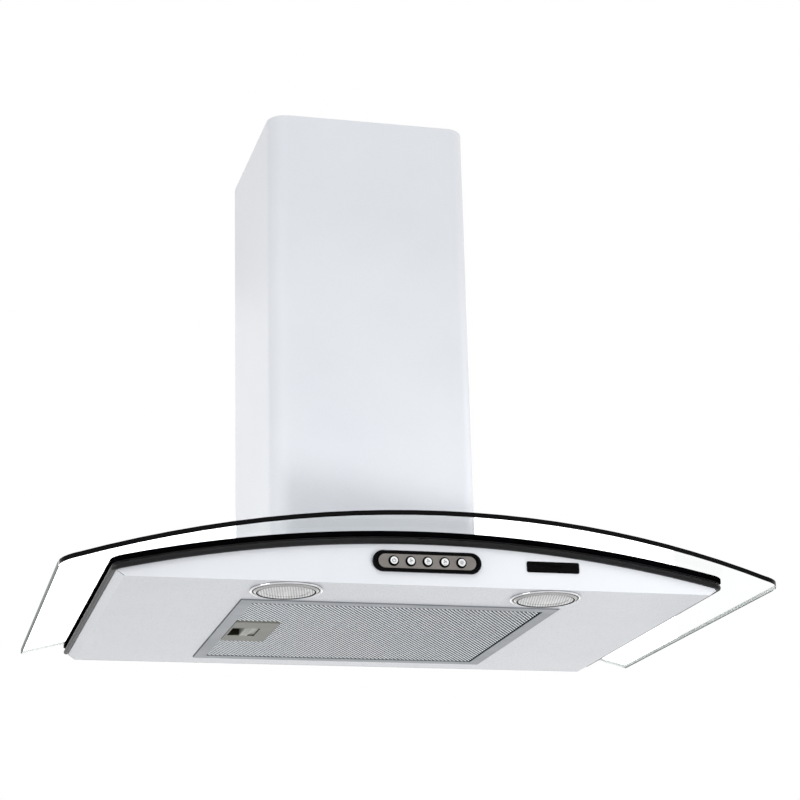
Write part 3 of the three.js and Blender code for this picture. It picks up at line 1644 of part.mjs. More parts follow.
const switchFront = neckRear + CLEARANCE;
const switchBore = stemRadius + CLEARANCE;
part(
  "switch_block",
  cut(
    block(
      -SWITCH_LENGTH / 2,
      SWITCH_LENGTH / 2,
      switchFront,
      switchFront + SWITCH_DEPTH,
      CONTROL_LEVEL - SWITCH_HEIGHT / 2,
      CONTROL_LEVEL + SWITCH_HEIGHT / 2,
    ),
    ...buttonXs.map((x) =>
      prismY(
        disc(x, CONTROL_LEVEL, switchBore),
        switchFront - 1,
        buttonRear + STEM_LENGTH + BUTTON_TRAVEL + 1,
      ),
    ),
  ),
  BLACK_PLASTIC,
);

hood.position.z = -MOUNT_HEIGHT;

export default hood;
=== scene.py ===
"""Looks of the curved glass range hood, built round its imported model.

Metres, in the model's own frame: +X to the right seen from the front, +Y into the wall, +Z up,
with the origin on the wall, level with the keyholes of the rear panel.
"""
import json
import math

import bmesh
import bpy
from mathutils import Matrix, Vector


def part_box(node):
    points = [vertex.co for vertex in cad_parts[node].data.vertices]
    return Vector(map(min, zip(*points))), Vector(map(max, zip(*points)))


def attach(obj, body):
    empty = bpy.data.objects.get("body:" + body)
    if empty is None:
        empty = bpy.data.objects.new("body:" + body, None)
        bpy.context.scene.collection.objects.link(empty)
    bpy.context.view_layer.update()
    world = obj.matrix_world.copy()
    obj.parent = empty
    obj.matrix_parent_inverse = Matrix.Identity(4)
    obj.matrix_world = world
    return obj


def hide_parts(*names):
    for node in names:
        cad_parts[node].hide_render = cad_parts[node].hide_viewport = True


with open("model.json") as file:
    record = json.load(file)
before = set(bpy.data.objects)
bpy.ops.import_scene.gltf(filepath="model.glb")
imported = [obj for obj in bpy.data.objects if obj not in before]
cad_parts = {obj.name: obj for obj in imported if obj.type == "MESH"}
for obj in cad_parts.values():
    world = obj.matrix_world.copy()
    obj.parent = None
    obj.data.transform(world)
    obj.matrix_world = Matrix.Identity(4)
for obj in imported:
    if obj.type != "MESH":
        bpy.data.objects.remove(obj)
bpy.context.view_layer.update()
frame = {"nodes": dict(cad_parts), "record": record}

NODES = frame["nodes"]
MM = 0.001

# ---------------------------------------------------------------- node materials


class Nodes:
    """A material's node tree, with short calls to add and link its nodes."""

    def __init__(self, name):
        self.material = bpy.data.materials.new(name)
        self.material.use_nodes = True
        self.tree = self.material.node_tree
        self.tree.nodes.clear()
        self.output = self.add("ShaderNodeOutputMaterial")

    def add(self, kind, **settings):
        node = self.tree.nodes.new(kind)
        for key, value in settings.items():
            setattr(node, key, value)
        return node

    def link(self, source, target):
        self.tree.links.new(source, target)

    def coordinates(self, stretch=(1, 1, 1), turn=0.0):
        place = self.add("ShaderNodeTexCoord")
        mapping = self.add("ShaderNodeMapping")
        mapping.inputs["Scale"].default_value = stretch
        mapping.inputs["Rotation"].default_value = (0, 0, turn)
        self.link(place.outputs["Object"], mapping.inputs["Vector"])
        return mapping.outputs["Vector"]

    def noise(self, vector, scale, detail=3.0, roughness=0.55):
        node = self.add("ShaderNodeTexNoise")
        node.inputs["Scale"].default_value = scale
        node.inputs["Detail"].default_value = detail
        node.inputs["Roughness"].default_value = roughness
        self.link(vector, node.inputs["Vector"])
        return node.outputs["Fac"]

    def ramp(self, factor, low, high, start=0.35, end=0.65):
        """Maps a texture value to a number or a colour between two ends."""
        node = self.add("ShaderNodeMapRange", clamp=True)
        node.inputs["From Min"].default_value = start
        node.inputs["From Max"].default_value = end
        self.link(factor, node.inputs["Value"])
        if isinstance(low, (int, float)):
            node.inputs["To Min"].default_value = low
            node.inputs["To Max"].default_value = high
            return node.outputs["Result"]
        mix = self.add("ShaderNodeMix", data_type="RGBA")
        mix.inputs["A"].default_value = (*low, 1)
        mix.inputs["B"].default_value = (*high, 1)
        self.link(node.outputs["Result"], mix.inputs["Factor"])
        return mix.outputs["Result"]

    def bump(self, height, strength, distance):
        node = self.add("ShaderNodeBump")
        node.inputs["Strength"].default_value = strength
        node.inputs["Distance"].default_value = distance
        self.link(height, node.inputs["Height"])
        return node.outputs["Normal"]

    def shader(self, **sockets):
        """A Principled shader. A socket takes a constant or another node's output."""
        node = self.add("ShaderNodeBsdfPrincipled")
        for key, value in sockets.items():
            socket = node.inputs[key.replace("_", " ")]
            if isinstance(value, bpy.types.NodeSocket):
                self.link(value, socket)
            else:
                socket.default_value = value
        self.link(node.outputs["BSDF"], self.output.inputs["Surface"])
        return node


def srgb(red, green, blue):
    """A colour given as 0-255 screen values, as linear light."""

    def linear(value):
        share = value / 255
        return share / 12.92 if share <= 0.04045 else ((share + 0.055) / 1.055) ** 2.4

    return tuple(linear(v) for v in (red, green, blue))


def surface(
    name,
    dark,
    light,
    rough=(0.3, 0.4),
    grain=60.0,
    fine=900.0,
    bump=0.05,
    depth=0.02 * MM,
    stretch=(1, 1, 1),
    **sockets,
):
    """A finish whose colour drifts at one scale and whose roughness and relief vary at a finer one."""
    n = Nodes(name)
    wide = n.noise(n.coordinates(), grain)
    small = n.noise(n.coordinates(stretch), fine, detail=4)
    n.shader(
        Base_Color=n.ramp(wide, dark, light),
        Roughness=n.ramp(small, *rough),
        Normal=n.bump(small, bump, depth),
        **sockets,
    )
    return n.material


def canopy_glass():
    n = Nodes("canopy_glass")
    smear = n.noise(n.coordinates((1, 0.6, 1)), 9, detail=5)
    n.shader(
        Base_Color=n.ramp(smear, srgb(252, 255, 254), srgb(255, 255, 255)),
        Roughness=n.ramp(smear, 0.0, 0.008),
        IOR=1.04,
        Transmission_Weight=1.0,
    )
    return n.material


PRISM_PITCH = 2.2
PRISM_TURN = math.radians(13.5)  # the lens is turned in its ring
BAND_RATE = 20  # radians per metre that a band texture runs through at a scale of 1


def prismatic_lens():
    """Frosted glass with prisms from front to back. Its colour is lighter along the prisms, broken up
    by flecks: painted highlight.
    """
    n = Nodes("lens_glass")
    wave = n.add("ShaderNodeTexWave", wave_type="BANDS", bands_direction="X", wave_profile="SIN")
    wave.inputs["Scale"].default_value = 2 * math.pi / (BAND_RATE * PRISM_PITCH * MM)
    wave.inputs["Distortion"].default_value = 2.2
    wave.inputs["Detail"].default_value = 3.0
    wave.inputs["Detail Scale"].default_value = 6.0
    n.link(n.coordinates(turn=PRISM_TURN), wave.inputs["Vector"])
    fleck = n.noise(n.coordinates((1, 0.3, 1), PRISM_TURN), 210)
    # The colour follows the prisms and the flecks: painted highlight.
    painted_highlight = n.add("ShaderNodeMath", operation="MULTIPLY")
    n.link(wave.outputs["Fac"], painted_highlight.inputs[0])
    n.link(fleck, painted_highlight.inputs[1])
    n.shader(
        Base_Color=n.ramp(painted_highlight.outputs[0], srgb(196, 195, 192), srgb(255, 255, 254), 0.06, 0.36),
        Roughness=n.ramp(fleck, 0.1, 0.2),
        Normal=n.bump(wave.outputs["Fac"], 0.3, 0.1 * MM),
        Transmission_Weight=0.15,
        IOR=1.48,
    )
    return n.material


def spangled_zinc():
    n = Nodes("spangled_zinc")
    cells = n.add("ShaderNodeTexVoronoi")
    cells.inputs["Scale"].default_value = 140
    n.link(n.coordinates(), cells.inputs["Vector"])
    grey = n.add("ShaderNodeRGBToBW")
    n.link(cells.outputs["Color"], grey.inputs["Color"])
    fleck = grey.outputs["Val"]
    haze = n.noise(n.coordinates(), 700)
    n.shader(
        Base_Color=n.ramp(fleck, srgb(158, 162, 166), srgb(190, 193, 196), 0.2, 0.8),
        Roughness=n.ramp(fleck, 0.3, 0.46, 0.2, 0.8),
        Normal=n.bump(haze, 0.08, 0.03 * MM),
        Metallic=0.92,
    )
    return n.material


WHITE_PAINT = surface(
    "white_paint", srgb(236, 238, 243), srgb(240, 242, 246), rough=(0.27, 0.3), grain=7,
    fine=1400, bump=0.006, depth=0.012 * MM, Specular_IOR_Level=0.4, Coat_Weight=0.1,
    Coat_Roughness=0.12,
)
CANOPY_GLASS = canopy_glass()
# The black front edge of the glass is a painted reflection of the dark that a polished glass edge
# shows.
GLASS_BAND_PAINTED_REFLECTION = surface(
    "glass_band_painted_reflection", srgb(2, 2, 3), srgb(5, 5, 6), rough=(0.06, 0.12), grain=40, fine=500,
    bump=0.02, depth=0.01 * MM, Specular_IOR_Level=0.08,
)
GLASS_EDGE = surface(
    "glass_edge", srgb(146, 150, 149), srgb(160, 164, 163), rough=(0.12, 0.2), grain=60,
    fine=700, bump=0.03, depth=0.01 * MM, Specular_IOR_Level=0.0,
)
GLASS_EDGE_PALE = surface(
    "glass_edge_pale", srgb(226, 232, 230), srgb(236, 241, 239), rough=(0.12, 0.2), grain=60,
    fine=700, bump=0.03, depth=0.01 * MM, Specular_IOR_Level=0.2,
)
RUBBER = surface(
    "black_rubber", srgb(11, 11, 13), srgb(17, 17, 19), rough=(0.34, 0.46), grain=90,
    fine=2600, bump=0.12, depth=0.02 * MM, Specular_IOR_Level=0.28,
)
# A darker copy of the black rubber with no reflection: painted shade on the trim's flange and on the
# lamp gaskets.
BLACK_RUBBER_PAINTED_SHADE = surface(
    "black_rubber_painted_shade", srgb(3, 3, 4), srgb(6, 6, 8), rough=(0.5, 0.6), grain=90, fine=2600,
    bump=0.1, depth=0.02 * MM, Specular_IOR_Level=0.0,
)
GLOSS_BLACK = surface(
    "gloss_black", srgb(3, 3, 4), srgb(6, 6, 7), rough=(0.1, 0.16), grain=50, fine=1500,
    bump=0.02, depth=0.01 * MM, Specular_IOR_Level=0.05,
)
DARK_PLASTIC = surface(
    "dark_plastic", srgb(52, 53, 56), srgb(62, 63, 66), rough=(0.42, 0.55), grain=70,
    fine=2200, bump=0.16, depth=0.03 * MM,
)
GREY_PLASTIC = surface(
    "grey_plastic", srgb(144, 144, 136), srgb(152, 152, 144), rough=(0.4, 0.5), grain=60,
    fine=2400, bump=0.1, depth=0.02 * MM, Specular_IOR_Level=0.25,
)
LATCH_PLASTIC = surface(
    "latch_plastic", srgb(188, 189, 181), srgb(198, 199, 191), rough=(0.3, 0.4), grain=60,
    fine=2400, bump=0.08, depth=0.02 * MM, Specular_IOR_Level=0.3,
)
PANEL_GREY = surface(
    "panel_grey", srgb(130, 125, 121), srgb(138, 133, 129), rough=(0.32, 0.35), grain=30,
    fine=500, bump=0.02, depth=0.01 * MM, stretch=(0.3, 1, 2), Metallic=0.55,
)
BUTTON_SILVER = surface(
    "button_silver", srgb(240, 241, 242), srgb(248, 248, 249), rough=(0.2, 0.28), grain=60,
    fine=1800, bump=0.05, depth=0.01 * MM, Metallic=0.1, Coat_Weight=0.3, Coat_Roughness=0.1,
)
ICON_GREY = surface(
    "icon_grey", srgb(84, 84, 86), srgb(96, 96, 98), rough=(0.4, 0.5), grain=80,
    fine=1500, bump=0.05, depth=0.01 * MM,
)
FILTER_ALUMINIUM = surface(
    "filter_aluminium", srgb(172, 175, 179), srgb(184, 187, 191), rough=(0.52, 0.62), grain=25,
    fine=420, bump=0.1, depth=0.015 * MM, stretch=(0.08, 1.6, 1), Metallic=0.85,
)
MESH_ALUMINIUM = surface(
    "mesh_aluminium", srgb(240, 245, 250), srgb(248, 252, 255), rough=(0.24, 0.36), grain=120,
    fine=1600, bump=0.1, depth=0.02 * MM, Metallic=0.9,
)
# Painted shade for the finger recess of the latch.
RECESS_PAINTED_SHADE = surface(
    "recess_painted_shade", srgb(40, 40, 32), srgb(52, 52, 43), rough=(0.5, 0.6), grain=60,
    fine=2400, bump=0.1, depth=0.02 * MM, Specular_IOR_Level=0.1,
)
# Near black for the layers deep in the filter, as they look in shade: painted shade.
MESH_PAINTED_SHADE = surface(
    "mesh_painted_shade", srgb(20, 21, 23), srgb(28, 29, 31), rough=(0.5, 0.6), grain=120,
    fine=1600, bump=0.1, depth=0.02 * MM, Specular_IOR_Level=0.05,
)
FAN_PLASTIC = surface(
    "fan_plastic", srgb(150, 153, 156), srgb(164, 167, 170), rough=(0.4, 0.5), grain=80,
    fine=1800, bump=0.1, depth=0.02 * MM,
)
LAMP_CHROME = surface(
    "lamp_chrome", srgb(214, 215, 217), srgb(226, 227, 229), rough=(0.06, 0.12), grain=60,
    fine=900, bump=0.02, depth=0.01 * MM, Metallic=1.0,
)
LAMP_SATIN = surface(
    "lamp_satin", srgb(176, 176, 175), srgb(192, 192, 191), rough=(0.24, 0.34), grain=60,
    fine=900, bump=0.04, depth=0.01 * MM, Metallic=0.9,
)
# Dark grey for the gap behind the rim, the groove and the wall round the lens: painted shade.
LAMP_PAINTED_SHADE = surface(
    "lamp_painted_shade", srgb(66, 65, 64), srgb(84, 83, 82), rough=(0.3, 0.42), grain=60,
    fine=900, bump=0.04, depth=0.01 * MM, Metallic=0.6, Specular_IOR_Level=0.2,
)
LENS_GLASS = prismatic_lens()
POLISHED_STEEL = surface(
    "polished_steel", srgb(200, 202, 204), srgb(214, 216, 218), rough=(0.1, 0.18), grain=90,
    fine=1500, bump=0.04, depth=0.01 * MM, Metallic=1.0,
)
MOTOR_STEEL = surface(
    "motor_steel", srgb(92, 96, 99), srgb(108, 112, 115), rough=(0.3, 0.42), grain=60,
    fine=1200, bump=0.1, depth=0.02 * MM, Metallic=0.8,
)
ZINC = spangled_zinc()

BY_SLOT = {
    "white_paint": WHITE_PAINT,
    "canopy_glass": CANOPY_GLASS,
    "black_rubber": RUBBER,
    "black_plastic": GLOSS_BLACK,
    "dark_plastic": DARK_PLASTIC,
    "grey_plastic": GREY_PLASTIC,
    "panel_grey": PANEL_GREY,
    "button_silver": BUTTON_SILVER,
    "filter_aluminium": FILTER_ALUMINIUM,
    "fan_aluminium": FAN_PLASTIC,
    "lamp_chrome": LAMP_CHROME,
    "lens_glass": LENS_GLASS,
    "polished_steel": POLISHED_STEEL,
    "zinc_steel": ZINC,
    "motor_steel": MOTOR_STEEL,
}

# ---------------------------------------------------------------- finish of the CAD nodes

SLOT_OF = {row["node"]: row["material_slot"] for row in frame["record"]["subparts"]}
EDGE_ROUNDING = {  # radius in millimetres of the rounding that each node's edges get
    "body_shell": 0.35,
    "chimney_outer": 0.3,
    "chimney_inner": 0.3,
    "filter_frame": 0.3,
    "latch_plate": 0.3,
    "latch_slide": 0.25,
    "terminal_box": 1.2,
    "capacitor": 0.8,
    "motor": 0.8,
    "outlet_collar": 0.4,
    "blower_box": 0.3,
}
ROUNDING_SEGMENTS = 2
ROUNDED_ANGLE = math.radians(40)  # edges that bend by more than this are rounded
WELD_DISTANCE = 0.004 * MM
SHARP_ANGLE = math.radians(28)


def finish_node(name):
    """Gives a CAD node its material, and smooth shading that breaks at its real edges."""
    node = NODES[name]
    mesh = node.data
    mesh.materials.clear()
    mesh.materials.append(BY_SLOT[SLOT_OF[name]])
    for attribute in ("custom_normal", "sharp_edge"):
        if attribute in mesh.attributes:
            mesh.attributes.remove(mesh.attributes[attribute])
    mesh.shade_smooth()
    weld = node.modifiers.new("weld", "WELD")
    weld.merge_threshold = WELD_DISTANCE
    if name in EDGE_ROUNDING:
        bevel = node.modifiers.new("edges", "BEVEL")
        bevel.width = EDGE_ROUNDING[name] * MM
        bevel.segments = ROUNDING_SEGMENTS
        bevel.limit_method = "ANGLE"
        bevel.angle_limit = ROUNDED_ANGLE
    split = node.modifiers.new("split", "EDGE_SPLIT")
    split.split_angle = SHARP_ANGLE
    split.use_edge_sharp = False
    if name in EDGE_ROUNDING:
        node.modifiers.new("normals", "WEIGHTED_NORMAL")  # flat faces stay flat beside the bevels


for node_name in NODES:
    finish_node(node_name)
NODES["latch_slide"].data.materials[0] = LATCH_PLASTIC

# ---------------------------------------------------------------- mesh pieces

ON_AXIS = 1e-6  # a smaller radius is one point on the axis
BOX_SIDES = ((0, 1), (1, 2), (2, 3), (3, 0))  # neighbours among the four corners of a ribbon's end


def piece(name, vertices, faces, materials, body, replaced=(), indices=None, smooth=30):
    """A mesh piece from points in millimetres, shaded smooth up to an angle in degrees."""
    mesh = bpy.data.meshes.new(name)
    mesh.from_pydata([(x * MM, y * MM, z * MM) for x, y, z in vertices], [], faces)
    for material in materials:
        mesh.materials.append(material)
    if indices is not None:
        mesh.polygons.foreach_set("material_index", indices)
    mesh.validate()
    made = bmesh.new()
    made.from_mesh(mesh)
    bmesh.ops.recalc_face_normals(made, faces=made.faces)
    made.to_mesh(mesh)
    made.free()
    mesh.shade_smooth()
    obj = bpy.data.objects.new(name, mesh)
    bpy.context.scene.collection.objects.link(obj)
    split = obj.modifiers.new("split", "EDGE_SPLIT")
    split.split_angle = math.radians(smooth)
    split.use_edge_sharp = False
    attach(obj, body)
    if replaced:
        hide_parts(*replaced)


def arc(centre, radius, start, end, steps):
    """Points of an arc between two angles in degrees, both ends included."""
    points = []
    for i in range(steps + 1):
        angle = math.radians(start + (end - start) * i / steps)
        points.append((centre[0] + radius * math.cos(angle), centre[1] + radius * math.sin(angle)))
    return points


def lathe(profile, place, steps, closed=False, radius_at=None):
    """A profile of (radius, height) turned about the Z axis through a place.

    radius_at(number of the profile point, radius, angle) may make a ring other than round.
    """
    vertices = []
    rings = []
    for index, (radius, height) in enumerate(profile):
        if radius < ON_AXIS:
            rings.append([len(vertices)] * steps)
            vertices.append((place[0], place[1], place[2] + height))
            continue
        rings.append(list(range(len(vertices), len(vertices) + steps)))
        for i in range(steps):
            angle = 2 * math.pi * i / steps
            reach = radius if radius_at is None else radius_at(index, radius, angle)
            x = place[0] + reach * math.cos(angle)
            y = place[1] + reach * math.sin(angle)
            vertices.append((x, y, place[2] + height))
    faces = []
    pairs = list(zip(rings, rings[1:]))
    if closed:
        pairs.append((rings[-1], rings[0]))
    for low, high in pairs:
        for i in range(steps):
            j = (i + 1) % steps
            corners = [low[i], low[j], high[j], high[i]]
            face = [v for k, v in enumerate(corners) if v != corners[k - 1]]
            if len(face) > 2:
                faces.append(face)
    return vertices, faces


def turned(vertices, matrix):
    return [tuple(matrix @ Vector(v)) for v in vertices]


def sweep(stations, section, closed=False):
    """A closed section of (u, v) carried along stations of (origin, u direction, v direction)."""
    vertices = []
    for origin, u_way, v_way in stations:
        for u, v in section:
            vertices.append(tuple(origin[k] + u * u_way[k] + v * v_way[k] for k in range(3)))
    count = len(section)
    total = len(stations)
    faces = []
    for i in range(total if closed else total - 1):
        near = i * count
        far = ((i + 1) % total) * count
        for j in range(count):
            k = (j + 1) % count
            faces.append([near + j, near + k, far + k, far + j])
    if not closed:
        faces.append(list(range(count - 1, -1, -1)))
        faces.append([(total - 1) * count + j for j in range(count)])
    return vertices, faces


def box_faces(first):
    """The faces of a ribbon whose eight corners are numbered from first, four at each end."""
    faces = [[first + a, first + b, first + 4 + b, first + 4 + a] for a, b in BOX_SIDES]
    faces.append([first + k for k in (3, 2, 1, 0)])
    faces.append([first + k for k in (4, 5, 6, 7)])
    return faces


def low_high(node):
    """The corners of a CAD node's box, in millimetres."""
    low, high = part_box(node)
    return low / MM, high / MM


# ---------------------------------------------------------------- the arch under the glass

GLASS_THICKNESS = 4.0
ARCH_RADIUS = 1120.0
GLASS_LOW, GLASS_HIGH = low_high("glass_canopy")
CROWN = GLASS_HIGH.z - GLASS_THICKNESS
SHELL_LOW = low_high("body_shell")[0]
FRONT = SHELL_LOW.y
UNDERSIDE = SHELL_LOW.z


def under_glass(x):
    """The level of the underside of the glass."""
    return CROWN - ARCH_RADIUS + math.sqrt(ARCH_RADIUS**2 - x * x)


# ---------------------------------------------------------------- seams at the front corners

BOTTOM_HALF = 247.0  # half the width of the flat underside
STRIP_OUT = 6.5  # the slanted side strip runs out by this much
STRIP_RISE = 4.5  # while it rises by this much
BODY_CORNER = 4.0
SEAM_WIDTH = 0.36
SEAM_SUNK = 0.1
SEAM_PROUD = 0.06
SEAM_START = 0.04  # share of the strip's width at which the seam starts
SEAM_RUN = 0.84  # share of it that the seam runs over
SEAM_STEPS = 8


def make_seam(side):
    """The fine gap where the front panel meets the slanted strip, at one lower front corner."""
    length = math.hypot(STRIP_OUT, STRIP_RISE)
    across = (side * STRIP_RISE / length, 0, -STRIP_OUT / length)
    half = SEAM_WIDTH / 2
    section = [(-half, -SEAM_SUNK), (half, -SEAM_SUNK), (half, SEAM_PROUD), (-half, SEAM_PROUD)]
    stations = []
    for i in range(SEAM_STEPS + 1):
        share = SEAM_START + SEAM_RUN * i / SEAM_STEPS
        x = BOTTOM_HALF + STRIP_OUT * share
        past = max(0.0, x - (BOTTOM_HALF + STRIP_OUT - BODY_CORNER))
        y = FRONT + BODY_CORNER - math.sqrt(BODY_CORNER**2 - past**2)
        out = (side * past / BODY_CORNER, -math.sqrt(1 - (past / BODY_CORNER) ** 2), 0)
        stations.append(((side * x, y, UNDERSIDE + STRIP_RISE * share), across, out))
    vertices, faces = sweep(stations, section)
    name = "corner_seam_left" if side < 0 else "corner_seam_right"
    piece(name, vertices, faces, [ICON_GREY], "hood")


make_seam(-1)
make_seam(1)

# ---------------------------------------------------------------- black edge of the glass, a painted reflection

BAND_FACING = -0.12  # faces of the glass edge that look forward by more than this are black
BAND_REACH = 80.0  # behind the foremost point, as far as the black may go
EDGE_FLATNESS = 0.5  # faces that look up or down by less than this belong to the edge


def finish_glass_edges():
    """The front edge of the glass is black round both corners: a painted reflection of the dark that
    its polished edge shows. The other edges are polished.
    """
    mesh = NODES["glass_canopy"].data
    for material in (GLASS_BAND_PAINTED_REFLECTION, GLASS_EDGE_PALE):
        mesh.materials.append(material)
    back_limit = (GLASS_LOW.y + BAND_REACH) * MM
    for face in mesh.polygons:
        on_edge = abs(face.normal.z) < EDGE_FLATNESS
        if on_edge and face.normal.y < BAND_FACING and face.center.y < back_limit:
            face.material_index = 1
        elif on_edge:
            face.material_index = 2


finish_glass_edges()

# ---------------------------------------------------------------- finger recess of the latch

RECESS_X = (-128.2, -103.5)
RECESS_Y = (-167.2, -134.8)
RECESS_START = 0.3  # behind the face of the plate


def finish_latch_recess():
    """The walls and the floor of the finger recess are darker than the plate round it: painted shade.
    """
    mesh = NODES["latch_plate"].data
    mesh.materials.append(RECESS_PAINTED_SHADE)
    face_level = low_high("latch_plate")[0].z + RECESS_START
    for face in mesh.polygons:
        x, y, z = face.center / MM
        within = RECESS_X[0] < x < RECESS_X[1] and RECESS_Y[0] < y < RECESS_Y[1]
        if within and z > face_level:
            face.material_index = 1


finish_latch_recess()

# ---------------------------------------------------------------- ground edges of the glass

ARRIS_WIDTH = 0.9
ARRIS_PROUD = 0.16  # of the glass, at its side and its underside
ARRIS_STEPS = 30
GLASS_TAPER = 3.0  # each side runs in by this much towards the wall
GLASS_SIDE_START = 45.0  # behind the foremost point, where the rounded corner ends


def make_arris(side):
    """The ground edge on one side of the glass, with its arris on the underside."""
    slope = GLASS_HIGH.x / math.sqrt(ARCH_RADIUS**2 - GLASS_HIGH.x**2)
    rise = ARRIS_WIDTH * slope
    top = GLASS_THICKNESS * math.hypot(1, slope)
    skin = ARRIS_PROUD / 2
    section = [(-ARRIS_WIDTH, rise - ARRIS_PROUD), (ARRIS_PROUD, -ARRIS_PROUD)]
    section += [(ARRIS_PROUD, top + skin), (skin, top + skin), (skin, -skin)]
    section += [(-ARRIS_WIDTH, rise - skin)]
    front = GLASS_LOW.y + GLASS_SIDE_START
    stations = []
    for i in range(ARRIS_STEPS + 1):
        share = i / ARRIS_STEPS
        x = side * (GLASS_HIGH.x - GLASS_TAPER * share)
        y = front + (GLASS_HIGH.y - front) * share
        stations.append(((x, y, under_glass(x)), (side, 0, 0), (0, 0, 1)))
    vertices, faces = sweep(stations, section)
    name = "glass_arris_left" if side < 0 else "glass_arris_right"
    piece(name, vertices, faces, [GLASS_EDGE], "hood", smooth=20)


make_arris(-1)
make_arris(1)

# ---------------------------------------------------------------- trim between glass and body

TRIM_FLANGE = 4.5  # ahead of the body
TRIM_HEIGHT = 10.5
TRIM_CORNER = BODY_CORNER
BEAD_RADIUS = 2.7
BEAD_REACH = 4.2
FLANGE_LOW = -4.1
FLANGE_START = (2.5, -5.0)  # (u, v) above and outside which the profile is the flange
TRIM_STEP = 6.0
TRIM_SIDE_STEP = 40.0
TRIM_CORNER_STEPS = 12


def trim_section():
    """(u, v): u outward from the body's face, v up from the underside of the glass."""
    bead = arc((BEAD_REACH - BEAD_RADIUS, BEAD_RADIUS - TRIM_HEIGHT), BEAD_RADIUS, -90, 48, 14)
    throat = [(3.05, -5.5), (2.95, -5.2), (3.0, -4.85), (3.25, -4.5)]
    nose = arc((TRIM_FLANGE - 0.5, FLANGE_LOW + 0.5), 0.5, -90, 0, 4)
    top = arc((TRIM_FLANGE - 0.4, -0.7), 0.4, 0, 90, 4)
    inner = [(-3.0, -0.3), (-3.0, -9.0), (-1.3, -9.0), (-1.3, -5.2), (0.3, -5.2), (0.3, -TRIM_HEIGHT)]
    return inner + bead + throat + nose + top


def trim_corner(middle_x, middle_y, start):
    """Stations round one front corner, a quarter turn on from an angle in degrees."""
    stations = []
    for x, y in arc((middle_x, middle_y), TRIM_CORNER, start, start + 90, TRIM_CORNER_STEPS):
        stations.append((x, y, ((x - middle_x) / TRIM_CORNER, (y - middle_y) / TRIM_CORNER)))
    return stations


def trim_stations():
    """(x, y, outward direction), from the left rear end round the front to the right rear end."""
    high = low_high("glass_trim")[1]
    half = high.x - TRIM_FLANGE
    corner_x = half - TRIM_CORNER
    corner_y = FRONT + TRIM_CORNER
    side_count = int((high.y - corner_y) / TRIM_SIDE_STEP) + 1
    side_places = [high.y - TRIM_SIDE_STEP * i for i in range(side_count)]
    count = int(2 * corner_x / TRIM_STEP)
    stations = [(-half, y, (-1, 0)) for y in side_places]
    stations += trim_corner(-corner_x, corner_y, 180)
    stations += [(-corner_x + 2 * corner_x * i / count, FRONT, (0, -1)) for i in range(1, count)]
    stations += trim_corner(corner_x, corner_y, 270)
    stations += [(half, y, (1, 0)) for y in reversed(side_places)]
    return stations


def make_trim():
    section = trim_section()
    vertices = []
    stations = trim_stations()
    for x, y, out in stations:
        for u, v in section:
            place = x + u * out[0]
            vertices.append((place, y + u * out[1], under_glass(place) + v))
    count = len(section)
    faces = []
    indices = []
    # The flange takes the darker copy of the rubber, painted shade; the bead keeps the plain rubber.
    on_flange = [u > FLANGE_START[0] and v > FLANGE_START[1] for u, v in section]
    flange_from = on_flange.index(True)
    for i in range(len(stations) - 1):
        for j in range(count):
            k = (j + 1) % count
            faces.append([i * count + j, i * count + k, (i + 1) * count + k, (i + 1) * count + j])
            indices.append(1 if j >= flange_from else 0)
    last = (len(stations) - 1) * count
    faces.append(list(range(count)))
    faces.append([last + j for j in range(count)])
    indices += [0, 0]
    piece(
        "trim_profile", vertices, faces, [RUBBER, BLACK_RUBBER_PAINTED_SHADE], "hood",
        ["glass_trim"], indices,
    )


make_trim()

# ---------------------------------------------------------------- glass fixings

FIXINGS = range(1, 5)
SCREW_RADIUS = 6.5
SCREW_SEAT = 1.8
SHANK_RADIUS = 2.5
SHANK_END = -10.0
SOCKET = 2.2  # across the flats of the hexagon, halved
SOCKET_FLOOR = 3.0
SOCKET_RIM = 2.9  # radius at which the dome starts
SOCKET_RINGS = (1, 2)  # numbers of the profile points that lie on the hexagon
GROMMET_BORE = 2.8
GROMMET_NECK = 5.7
GROMMET_FOOT = -3.9
SCREW_RING = 48


def fixing_places():
    """(node number, place on top of the glass, turn square to the glass)."""
    outer = ARCH_RADIUS + GLASS_THICKNESS
    for number in FIXINGS:
        low, high = low_high("glass_grommet_%d" % number)
        x = (low.x + high.x) / 2
        x *= outer / (outer - GLASS_THICKNESS / 2)
        y = (low.y + high.y) / 2
        z = CROWN - ARCH_RADIUS + math.sqrt(outer**2 - x * x)
        turn = Matrix.Translation((x, y, z)) @ Matrix.Rotation(math.asin(x / outer), 4, "Y")
        yield number, turn


def hexagon(index, radius, angle):
    """Rings inside the head follow the hexagon of its socket."""
    if index not in SOCKET_RINGS:
        return radius
    part = (angle + math.pi / 6) % (math.pi / 3) - math.pi / 6
    return SOCKET / math.cos(part)


def screw_profile():
    """(radius, height above the glass), from the floor of the socket over the dome to the shank."""
    dome = arc((0, 0), 1.0, 78, 4, 12)
    head = [(0, SOCKET_FLOOR), (SOCKET, SOCKET_FLOOR), (SOCKET, 4.95), (SOCKET_RIM, 5.0)]
    head += [
        (SCREW_RADIUS * u, 2.8 + 2.3 * v) for u, v in dome if SCREW_RADIUS * u > SOCKET_RIM
    ]
    head += [(SCREW_RADIUS, 2.4), (SCREW_RADIUS - 0.3, SCREW_SEAT), (SHANK_RADIUS, SCREW_SEAT)]
    return head + [(SHANK_RADIUS, SHANK_END), (0, SHANK_END)]


